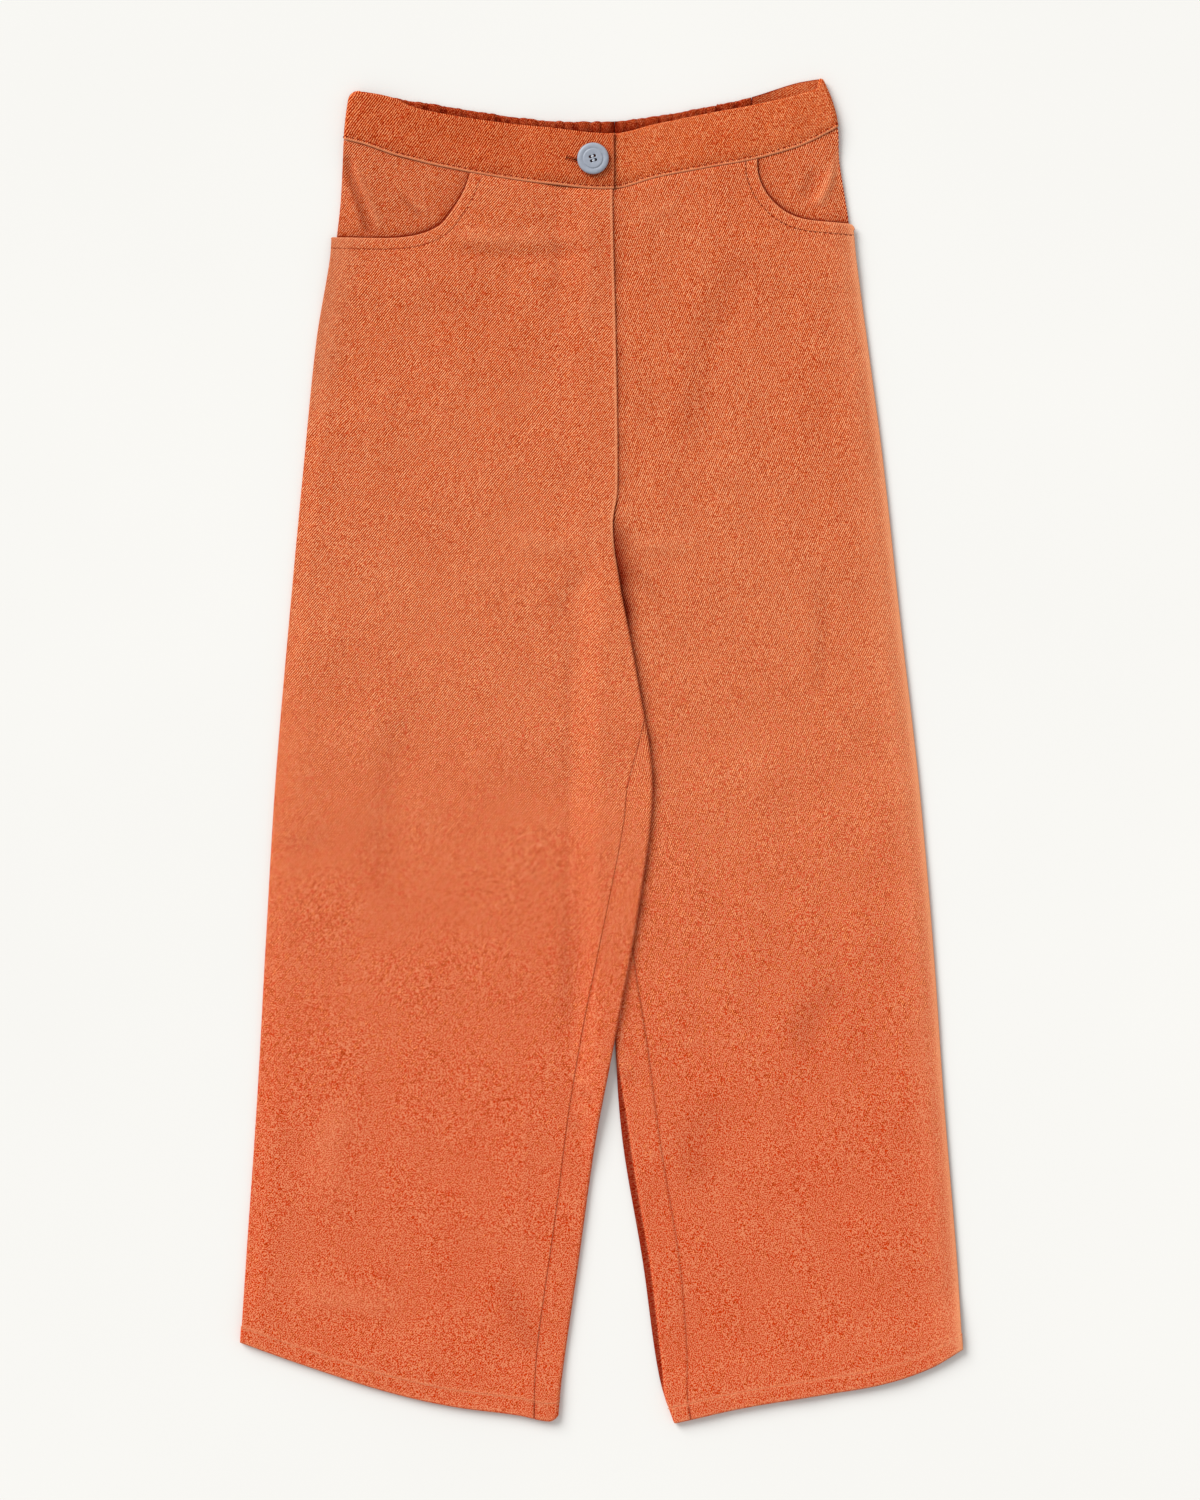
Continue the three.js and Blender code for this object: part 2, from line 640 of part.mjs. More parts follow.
// Sewing thread: a bar over each row of two holes, posts down through the holes, and a shank
// through the buttonhole.
function threadGeometry() {
  const underlapTop = bandFrontZ + bandThickness / 2;
  const shankFoot = underlapTop + seamGap;
  const crossLow = bandTopAtButton + shankLength / 2;
  const bridgeZ = buttonBase + button.thickness - button.well + seamGap + threadHeight / 2;
  const shank = new THREE.CylinderGeometry(0.5, 0.55, crossLow - shankFoot, 12);
  shank.rotateX(Math.PI / 2).translate(button.x, button.y, (crossLow + shankFoot) / 2);
  let solid = toSolid(shank);
  for (const [x, y] of holePlaces) {
    const post = upright(threadRadius, bridgeZ - crossLow, 8);
    post.translate(x, y, (bridgeZ + crossLow) / 2);
    solid = solid.add(toSolid(post));
  }
  for (const turn of [Math.PI / 4, -Math.PI / 4]) {
    const length = buttonHoles.spacing * Math.SQRT2 + threadRadius;
    const cross = new THREE.BoxGeometry(length, 2 * threadRadius, threadHeight);
    cross.rotateZ(buttonHoles.turn + turn).translate(button.x, button.y, crossLow);
    solid = solid.add(toSolid(cross));
  }
  for (const row of [-1, 1]) {
    const [x, y] = onButton(0, row * holeOffset);
    const bar = new THREE.BoxGeometry(buttonHoles.spacing, 2 * threadRadius, threadHeight);
    bar.rotateZ(buttonHoles.turn).translate(x, y, bridgeZ);
    solid = solid.add(toSolid(bar));
  }
  return toGeometry(solid);
}

const twill = (colour) => new THREE.MeshStandardMaterial({
  color: colour,
  roughness: 0.9,
  metalness: 0,
});
const rust = 0xdb7044;
const rustShade = 0xcb6038;
const greyPlastic = new THREE.MeshStandardMaterial({ color: 0x9ca3ae, roughness: 0.5 });
const threadMaterial = new THREE.MeshStandardMaterial({ color: 0xaab4c0, roughness: 0.8 });

const trousers = new THREE.Group();
const addPiece = (name, geometry, material) => {
  const mesh = new THREE.Mesh(geometry, material);
  mesh.name = name;
  trousers.add(mesh);
};

const rightCentreFront = (y) => right.inner(y);
const leftCentreFront = (y) => {
  const underlap = ramp(y, flyBottomY - 16, flyBottomY);
  const butt = right.inner(y) + seamGap;
  return y > crotchY + 15 ? mix(butt, right.inner(y) - flyUnderlap, underlap) : left.inner(y);
};
const backEdge = (side) => (y) => {
  const seam = centreBackX + side.outward * seamGap / 2;
  return mix(side.inner(Math.min(y, backSeamFoot)), seam, ramp(y, crotchY - 4, crotchY + 24));
};

for (const [side, word, centreFrontX] of [
  [right, 'right', rightCentreFront],
  [left, 'left', leftCentreFront],
]) {
  const wallOf = (point) => wall(side, point.x, point.y);
  addPiece(`front_${word}`, clothWall(frontPanel(side, centreFrontX), wallOf), twill(rust));
  addPiece(`back_${word}`, clothWall(backPanel(side, backEdge(side)), wallOf), twill(rust));
  addPiece(`hip_facing_${word}`, clothWall(hipFacing(side), () => clothThickness), twill(rust));
}

const bandWall = () => bandThickness;
const bandEdgeX = right.inner(button.y);
const lappedBand = clothWall(frontBand(right, bandEdgeX, elasticEndRight), bandWall);
const underBand = clothWall(frontBand(left, bandEdgeX - bandUnderlap, elasticEndLeft), bandWall);
addPiece('waistband_front_right', withButtonhole(lappedBand), twill(rustShade));
addPiece('waistband_front_left', underBand, twill(rustShade));
addPiece('waistband_back_right', clothWall(elasticBand(elasticEndRight, right), bandWall),
  twill(rustShade));
addPiece('waistband_back_left', clothWall(elasticBand(elasticEndLeft, left), bandWall),
  twill(rustShade));
addPiece('button', buttonGeometry(), greyPlastic);
addPiece('button_thread', threadGeometry(), threadMaterial);

export default trousers;
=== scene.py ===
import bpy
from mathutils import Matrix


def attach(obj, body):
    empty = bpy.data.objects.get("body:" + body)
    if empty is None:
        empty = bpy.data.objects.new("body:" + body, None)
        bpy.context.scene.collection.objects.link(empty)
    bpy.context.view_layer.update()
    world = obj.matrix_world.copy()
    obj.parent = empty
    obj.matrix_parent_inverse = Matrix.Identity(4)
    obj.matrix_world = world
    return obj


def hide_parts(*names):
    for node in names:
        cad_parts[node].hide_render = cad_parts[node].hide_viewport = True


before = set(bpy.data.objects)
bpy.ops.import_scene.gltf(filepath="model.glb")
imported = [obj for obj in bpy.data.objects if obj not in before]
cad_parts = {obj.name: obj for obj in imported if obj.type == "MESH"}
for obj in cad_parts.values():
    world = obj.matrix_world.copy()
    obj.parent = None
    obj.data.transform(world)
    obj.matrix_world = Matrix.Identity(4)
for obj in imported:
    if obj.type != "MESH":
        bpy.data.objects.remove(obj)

from types import SimpleNamespace

import bpy
import numpy as np

# Twill trousers laid flat on their back. The cloth is built here as fine shells on the packed
# solids: the same cut and the same layers, with creases, gathers, rolled edges and stitching.
# Tables and sizes are in millimetres, and mm turns them into the frame's metres.
mm = 0.001
scene = bpy.context.scene
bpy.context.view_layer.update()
print("frame:", len(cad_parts), "nodes")


def smooth(value, low, high):
    share = np.clip((value - low) / (high - low), 0, 1)
    return share * share * (3 - 2 * share)


def mix(start, end, share):
    return start + (end - start) * share


def bell(value, width):
    return np.exp(-((value / width) ** 2))


# A smooth curve through the rows of a table, as a function of the first column
def curve(rows, column):
    points = sorted((row[0], row[column]) for row in rows if row[column] is not None)
    x, y = np.array(points, float).T
    slope = np.empty_like(y)
    slope[1:-1] = (y[2:] - y[:-2]) / (x[2:] - x[:-2])
    slope[0] = (y[1] - y[0]) / (x[1] - x[0])
    slope[-1] = (y[-1] - y[-2]) / (x[-1] - x[-2])

    def value(at):
        at = np.asarray(at, float)
        i = np.clip(np.searchsorted(x, at) - 1, 0, len(x) - 2)
        span = x[i + 1] - x[i]
        s = np.clip((at - x[i]) / span, 0, 1)
        bend = span * s * (1 - s) * (slope[i] * (1 - s) - slope[i + 1] * s)
        past = slope[0] * np.minimum(at - x[0], 0) + slope[-1] * np.maximum(at - x[-1], 0)
        return mix(y[i], y[i + 1], s * s * (3 - 2 * s)) + bend + past

    return value


# A smooth line through a few points, as many points spaced evenly along it
def smoothPath(points, count=60):
    knots = np.array(points, float)
    steps = np.linalg.norm(np.diff(knots, axis=0), axis=1)
    along = np.concatenate([[0], np.cumsum(steps)])
    rows = np.column_stack([along, knots])
    at = np.linspace(0, along[-1], count)
    return np.stack([curve(rows, column)(at) for column in range(1, rows.shape[1])], axis=1)


# Points of a line at shares of its length
def pointsOn(line, share):
    return np.stack([np.interp(share, np.linspace(0, 1, len(line)), line[:, k]) for k in (0, 1)], -1)


# A line moved sideways by a distance, positive to its left
def movedLine(line, distance):
    ahead = np.gradient(line, axis=0)
    ahead /= np.linalg.norm(ahead, axis=1)[:, None]
    return line + distance * np.stack([-ahead[:, 1], ahead[:, 0]], axis=1)


# Signed distance from points to a line, positive on its left, and how far along the line the
# nearest place is, from 0 to 1. Points further off than reach get reach.
def offsetFrom(line, x, y, reach=40.0):
    distance = np.full(x.shape, reach)
    share = np.zeros(x.shape)
    low, high = line.min(axis=0) - reach, line.max(axis=0) + reach
    near = (x > low[0]) & (x < high[0]) & (y > low[1]) & (y < high[1])
    px, py = x[near], y[near]
    best, along = distance[near], share[near]
    for k, (a, b) in enumerate(zip(line[:-1], line[1:])):
        span = b - a
        t = np.clip(((px - a[0]) * span[0] + (py - a[1]) * span[1]) / (span @ span), 0, 1)
        dx, dy = px - a[0] - t * span[0], py - a[1] - t * span[1]
        gap = np.hypot(dx, dy)
        left = span[0] * dy - span[1] * dx >= 0
        closer = gap < np.abs(best)
        best = np.where(closer, np.where(left, gap, -gap), best)
        along = np.where(closer, (k + t) / (len(line) - 1), along)
    distance[near], share[near] = best, along
    return distance, share


# Outer edges of the leg panels: y, right panel x, left panel x
outerRows = [
    (378, -196.4, 184.6), (358, -197.8, 186.4), (300, -207.5, 194.2), (212, -216.5, 205.8),
    (95, -227.5, 218.5), (-22, -237.5, 232), (-138, -244.5, 242.4), (-255, -251, 250.6),
    (-372, -259, 260), (-436, -263, 263.6),
]
# Sides of the hips and the waistband: y, right x, left x
sideRows = [
    (491, -181.5, 162.8), (475, -184.5, 168.6), (455, -187, 172.8), (431, -188.3, 173.8),
    (402, -189.8, 178.2), (386, -191.4, 180.6), (340, -197, 184),
]
# Centre front above the crotch and the leg folds below it: y, right leg x, left leg x
innerRows = [
    (450, 11, None), (409, 8.6, None), (300, 11, None), (190, 12.2, None), (168, 9, 8.8),
    (150, 9.6, 8.7), (128, 13, 11.4), (112, 15.6, 12.9), (60, 25.6, 10.5), (-24, 37.6, 9.5),
    (-109, 28.5, 9.5), (-212, 10, 10.2), (-284, -3.7, 15.3), (-372, -16.2, 30),
    (-458, -28.5, 42.4), (-491, -31.5, 53.5),
]
# Width of the back cloth that turns round the fold to the inseam: y, right leg, left leg
stripRows = [
    (24, 0, 0), (-24, 17.6, 0), (-50, 19.5, 0), (-100, 22, 7), (-146, 24, 13.5),
    (-219, 24.6, 24), (-313, 21.5, 28), (-430, 21, 24), (-490, 17, 13),
]
# Left leg: how far the lower fold shows beyond the upper one: y, width
ledgeRows = [
    (-205, 0), (-226, 1.5), (-242, 3), (-276, 5.6), (-340, 5.4), (-401, 5), (-452, 3.4), (-474, 0),
]
# Waist: x, top of the front band, top of the back band, seam under the band
waistRows = [
    (-190, 480.5, 481.5, 446), (-172, 480, 480.6, 441.5), (-152, 476, 476.4, 434.5),
    (-138, 469.6, 473.8, 430.8), (-120, 465.2, 471.2, 426.3), (-80, 458.8, 464.6, 418.6),
    (-40, 454.2, 459.6, 412.9), (9, 449.8, 459, 409.2), (40, 456.8, 462.8, 417.4),
    (80, 464.9, 469.8, 425), (110, 470.4, 476.8, 430.4), (141, 477.4, 486.6, 439),
    (154, 481.4, 489.2, 444.4), (160, 484.2, 490, 447.4), (164, 488.6, 490.4, 449.6),
    (175, 494, 491.5, 455.5),
]
# Hems: x, y
hemRight = [(-263, -432), (-216, -448.5), (-158, -466.8), (-110, -477.6), (-60, -484),
            (-38, -488.2), (-26, -486)]
hemLeft = [(52, -491), (104, -479.5), (164, -469.8), (206, -462.4), (240, -451), (264, -437)]
# Pocket mouths from the waistband to the side: x, y
mouthRight = [(-95.6, 419.6), (-100, 408), (-107, 396), (-117, 383.5), (-131, 376.8),
              (-148, 374), (-170, 373.8), (-196.4, 374.4)]
mouthLeft = [(113.9, 429.6), (114.8, 420), (118.6, 410), (125, 401), (135, 392.6),
             (148, 387.6), (164, 385.6), (184.7, 384)]

frontTop, backTop, waistSeam = (curve(waistRows, column) for column in (1, 2, 3))


hipTopY = 378  # top of the panels' side edges, at the pocket mouths


def makeLeg(name, outward, column, hemRows, mouthPoints, hemCorner):
    hemX = sorted((row[0] for row in hemRows), key=lambda x: -outward * x)
    return SimpleNamespace(
        name=name,
        outward=outward,  # the sign of x at its outer edge
        panelEdge=curve(outerRows, column),
        sideEdge=curve(sideRows, column),
        inner=curve(innerRows, column),
        strip=curve(stripRows, column),
        hem=curve(hemRows, 1),
        hemEnds=(hemX[0], hemX[-1]),
        hemCorner=hemCorner,  # radius of the hem's inner corner
        mouth=smoothPath(mouthPoints, 90),
    )


rightLeg = makeLeg("right", -1, 1, hemRight, mouthRight, 7)
leftLeg = makeLeg("left", 1, 2, hemLeft, mouthLeft, 1.5)
legs = (rightLeg, leftLeg)


# How far a place lies inside a leg panel's outer edge
def fromSide(leg, x, y):
    return leg.outward * (leg.panelEdge(np.minimum(y, hipTopY)) - x)


# Thicknesses, and heights of the layers over the floor
cloth = {
    "thickness": 1.2,
    "hemThickness": 2.4,
    "hemDepth": 12.5,
    "seamGap": 0.3,  # between layers
    "seamJoin": 0.06,  # between pieces sewn edge to edge
    "panelDrop": 0.15,  # panels below the waistband seam
    "layerRise": 3.0,  # back cloth to front cloth
    "waistRise": 1.6,  # more at the waistband, on the front
    "facingRise": 0.7,  # and on the hip facings
    "riseLength": 60,
    "edgeRoll": 14,
    "pocketHide": 17,  # hip facing behind the pocket mouth
    "legClimb": 4.5,  # right leg over left leg
    "hemLiftEdge": 2.2,
    "hemLiftMiddle": 0.9,
    "hemSink": 0.4,
    "hemSlope": 40,  # over which the hem's lift comes in
}
crotchY = 150
crotchOuterY = 290  # where a row of cloth from the crotch meets the outer edge
flyBottomY = 196
flyUnderlap = 9
centreFrontY = 409  # top of the front panels at the centre
centreBackX = 10
centreBackY = 408  # top of the back panels at the centre
backBandHeight = 36
thick = cloth["thickness"]
gap, join = cloth["seamGap"], cloth["seamJoin"]
lapRise = thick + gap
topDrop = cloth["panelDrop"] + thick / 2  # from the waistband seam to a panel's first row


def wall(leg, x, y):
    double = 1 - smooth(y - leg.hem(x), cloth["hemDepth"] - 0.5, cloth["hemDepth"] + 1)
    return mix(thick, cloth["hemThickness"], double)


def climbRamp(x, y):
    return smooth(x, leftLeg.inner(y) - 32, leftLeg.inner(y) - 8)


def belowCrotch(y):
    return 1 - smooth(y, crotchY - 32, crotchY + 12)


def backZ(leg, x, y):
    lift = cloth["legClimb"] * climbRamp(x, y) * belowCrotch(y) if leg is rightLeg else 0
    return wall(leg, x, y) / 2 + lift


# 1 beside the pocket mouth, where the panel lies on the hip facing, and 0 away from it
def nearMouth(leg, x, y):
    x, y = np.broadcast_arrays(x, y)
    near = np.zeros(x.shape)
    high = y > 290
    apart = np.hypot(x[high][:, None] - leg.mouth[:, 0], y[high][:, None] - leg.mouth[:, 1])
    if apart.size:
        hide = cloth["pocketHide"]
        near[high] = 1 - smooth(apart.min(axis=1), hide + 14, hide + 50)
    return near


def upperBase(x, y, rise):
    toWaist = 1 - smooth(waistSeam(x) - y, 0, cloth["riseLength"])
    return thick / 2 + cloth["layerRise"] + rise * toWaist


def facingZ(leg, x, y):
    roll = smooth(leg.outward * (leg.sideEdge(y) - x), 0, cloth["edgeRoll"])
    underBand = 1 - smooth(waistSeam(x) - y, 3, 28)
    roll = roll + (1 - roll) * underBand
    return mix(1.5 * thick + gap, upperBase(x, y, cloth["facingRise"]), roll)


def frontZ(leg, x, y):
    near = nearMouth(leg, x, y)
    double = (wall(leg, x, y) - thick) / (cloth["hemThickness"] - thick)
    roll = smooth(fromSide(leg, x, y), 0, cloth["edgeRoll"])
    onFacing = upperBase(x, y, cloth["facingRise"]) + lapRise
    base = mix(upperBase(x, y, cloth["waistRise"]), onFacing, near)
    flat = mix(1.5 * thick + gap + lapRise * near, base, roll)
    hemLift = mix(cloth["hemLiftEdge"], cloth["hemLiftMiddle"], roll)
    nearHem = 1 - smooth(y - leg.hem(x), cloth["hemDepth"], cloth["hemDepth"] + cloth["hemSlope"])
    flat += hemLift * nearHem - cloth["hemSink"] * double
    if leg is leftLeg:
        return flat
    lap = lapRise * smooth(x, -34, -8)
    return flat + mix(lap, cloth["legClimb"] * climbRamp(x, y), belowCrotch(y))


# Soft creases pressed into the front: path, height (a trough is negative), half width, and the
# share of the length over which each end fades
creases = [
    ([(-117, 375), (-70, 373), (-30, 373), (2, 375)], 0.8, 5.0, 0.25),  # under the right pocket
    ([(-122, 366), (-72, 362), (-34, 363), (0, 364)], -0.9, 5.0, 0.25),
    ([(120, 372), (98, 342), (80, 305), (70, 250), (65, 197)], -0.7, 12.0, 0.2),  # left hip
    ([(-22.6, 88), (-23.5, 20), (-24, -50), (-25.6, -120), (-27, -190)], -0.45, 2.4, 0.12),
    ([(-16, -95), (-19, -150), (-26, -226)], -0.9, 9.0, 0.3),
    ([(-54, -246), (-57, -320), (-60, -401)], 0.45, 1.8, 0.15),
    ([(-52, -299), (-40, -300), (-30, -298)], 0.45, 2.0, 0.3),
    ([(19, -218.6), (50, -213), (87, -211), (120, -212), (150, -214)], 0.5, 1.8, 0.3),
    ([(-216, 192), (-180, 186), (-147, 179), (-115, 174), (-86, 170)], -0.45, 2.2, 0.25),
    ([(-68.6, 366), (-68, 335), (-68.6, 305)], -0.4, 1.8, 0.2),
    ([(-40, 395), (-30, 360), (-34, 320)], -0.5, 6.0, 0.3),
    ([(-12, 400), (-8, 350), (-10, 300)], 0.4, 5.0, 0.3),
    ([(60, 402), (40, 392), (22, 390)], 0.6, 5.0, 0.3),
    ([(-19, -238), (-10, -244), (-4, -250)], 1.1, 2.4, 0.3),  # crumpled at the inseams
    ([(-17, -247), (-9, -254), (-4, -262)], -1.0, 2.2, 0.3),
    ([(-22, -258), (-12, -262), (-7, -268)], 0.9, 2.4, 0.3),
    ([(-24, -270), (-14, -276), (-8, -280)], -0.9, 3.0, 0.3),
    ([(13, -224), (20, -230), (28, -231)], 1.0, 2.4, 0.3),
    ([(13, -236), (22, -239), (31, -244)], -0.9, 2.6, 0.3),
    ([(13, 160), (30, 150), (52, 150), (80, 156)], 0.7, 6.0, 0.35),  # from the crotch
    ([(16, 140), (34, 122), (50, 96)], -0.8, 6.0, 0.3),
    ([(4, 158), (-20, 150), (-48, 152), (-80, 160)], 0.6, 7.0, 0.35),
    ([(2, 140), (-20, 120), (-34, 84)], -0.7, 6.0, 0.3),
    ([(160, 140), (163, 80), (160, 30)], -0.8, 8.0, 0.3),
    ([(-120, 60), (-150, 0), (-160, -80), (-150, -140)], -0.7, 12.0, 0.3),
    ([(190, -170), (160, -190), (140, -230)], -1.0, 14.0, 0.3),
    ([(90, -250), (70, -290), (80, -330)], -0.9, 14.0, 0.3),
    ([(-230, -395), (-190, -400), (-140, -408)], 0.8, 10.0, 0.3),
    ([(-75, -380), (-60, -410), (-45, -450)], -0.9, 9.0, 0.25),
    ([(-180, -250), (-200, -290), (-190, -340)], 0.8, 14.0, 0.3),
    ([(-240, -60), (-215, -70), (-190, -60)], -0.6, 7.0, 0.3),
]
# The same on the hip facings, seen inside the pocket mouths
facingCreases = [
    ([(-188, 436), (-181, 414), (-174, 396), (-168, 374)], -1.9, 3.4, 0.08),
    ([(-181, 430), (-173, 410), (-166, 394), (-161, 380)], 0.9, 2.6, 0.15),
    ([(-148, 407), (-138, 396), (-127, 386)], -0.9, 2.4, 0.3),
    ([(-142, 408), (-132, 398), (-123, 390)], 0.5, 3.0, 0.3),
    ([(176, 441), (170, 425), (165, 411), (157, 396)], 1.4, 3.4, 0.12),
    ([(158, 428), (152, 412), (146, 398)], -0.9, 5.0, 0.3),
]
bandCreases = [
    ([(-150, 455), (-110, 446), (-70, 440), (-40, 440)], -0.4, 6.0, 0.3),
    ([(150, 468), (140, 462), (120, 458)], 0.35, 5.0, 0.3),
]
undulation = {"height": 0.3, "shortest": 34, "longest": 95, "waves": 16, "seed": 11}

waveDraw = np.random.default_rng(undulation["seed"])
waveLengths = waveDraw.uniform(undulation["shortest"], undulation["longest"], undulation["waves"])
waveTurns = waveDraw.uniform(0, 2 * np.pi, undulation["waves"])
waveStarts = waveDraw.uniform(0, 2 * np.pi, undulation["waves"])


# Height that the cloth never loses: it doesn't lie dead flat
def undulate(x, y):
    total = np.zeros(np.broadcast(x, y).shape)
    for length, turn, start in zip(waveLengths, waveTurns, waveStarts):
        total += np.sin(2 * np.pi * (x * np.cos(turn) + y * np.sin(turn)) / length + start)
    return undulation["height"] * total / np.sqrt(undulation["waves"])


def creased(x, y, rows):
    total = np.zeros(x.shape)
    for path, height, width, fade in rows:
        distance, share = offsetFrom(smoothPath(path, 24), x, y, 4.0 * width)
        ends = smooth(share, 0, fade) * (1 - smooth(share, 1 - fade, 1))
        total += height * ends * bell(distance, width)
    return total


# Height added to the upper layer. It fades where layers lie close: at the outer edge, at the hem
# and where the right leg covers the left one.
def frontRelief(leg, x, y):
    total = undulate(x, y) + creased(x, y, creases)
    total *= smooth(fromSide(leg, x, y), -6, cloth["edgeRoll"])
    nearHem = 1 - smooth(y - leg.hem(x), 14, 40)
    total = mix(total, np.maximum(total, -0.4), nearHem)
    if leg is leftLeg:
        covered = (1 - smooth(x - rightLeg.inner(y), 3, 26)) * smooth(y, -250, -206)
        total *= 1 - covered * (1 - smooth(y, crotchY, crotchY + 40))
    return total


# The inner fold of a leg in one cross-section: an upper and a lower layer joined by a half
# circle. Distances run along the cloth from where the half circle starts.
def foldAt(leg, edgeX, y):
    inward = -leg.outward
    probe = edgeX - inward * 2.2
    high, low = frontZ(leg, probe, y), backZ(leg, probe, y)
    radius = (high - low) / 2
    centreX = edgeX - inward * (radius + wall(leg, probe, y) / 2)
    bent = 1 - smooth(y, crotchY - 8, crotchY + 14)
    ledge = np.maximum(curve(ledgeRows, 1)(y), 0) if leg is leftLeg else 0 * y
    return SimpleNamespace(inward=inward, centreX=centreX, radius=radius, middle=(high + low) / 2,
                           bent=bent, ledge=ledge)


# Where the inseam lies, as a distance past the start of the half circle from above
def seamOnFold(fold, strip, thickness):
    reach = thickness / 2 + fold.radius
    onFold = mix(np.pi * fold.radius / 2, 0, np.clip(strip / reach, 0, 1))
    return np.where(strip > reach, reach - strip, onFold)


# x, z, distance along the cloth as seen from outside, 1 on the upper layer to 0 on the lower, and
# how far a place lies back on the ledge below the fold
def alongFold(leg, fold, distance, fromAbove, y):
    sign = 1 if fromAbove else -1
    nearZ, farZ = (frontZ, backZ) if fromAbove else (backZ, frontZ)
    length = np.pi * fold.radius
    straightX = fold.centreX + fold.inward * distance
    pastX = fold.centreX - fold.inward * (distance - length)
    flatZ = nearZ(leg, np.where(distance > 0, fold.centreX, straightX), y)
    angle = np.clip(distance / np.maximum(fold.radius, 1e-6), 0, np.pi)
    bentX = fold.centreX + fold.inward * fold.radius * np.sin(angle)
    bentZ = fold.middle + sign * fold.radius * np.cos(angle)
    before, past = distance <= 0, distance > length
    x = np.select([before, past], [straightX, pastX], mix(straightX, bentX, fold.bent))
    z = np.select([before, past], [flatZ, farZ(leg, pastX, y)], mix(flatZ, bentZ, fold.bent))
    turned = np.select([before, past], [0.0, 1.0], (1 - np.cos(angle)) / 2 * fold.bent)
    down = angle / np.pi if fromAbove else 1 - angle / np.pi  # 0 on the upper layer, 1 on the lower
    fromFold = -distance if fromAbove else distance - length
    drawnBack = (1 - smooth(down, 0.3, 0.72)) * (1 - smooth(fromFold, 0, 30))
    x = x - fold.inward * fold.ledge * drawnBack
    back = np.minimum(fold.ledge / 2.5, 1) * smooth(down, 0.3, 0.45)
    return x, z, straightX, (1 - turned if fromAbove else turned), back


# Where a panel ends: at the inseam below the crotch, at its own centre edge above it
def panelEnd(leg, fold, y, fromAbove):
    seam = seamOnFold(fold, leg.strip(y), wall(leg, fold.centreX, y))
    bentEnd = seam if fromAbove else np.pi * fold.radius - seam
    end = mix(fold.radius + thick / 2, bentEnd, fold.bent)
    return end - join / 2 - wall(leg, fold.centreX, y) / 2


def unit(vectors):
    return vectors / np.maximum(np.linalg.norm(vectors, axis=-1, keepdims=True), 1e-9)


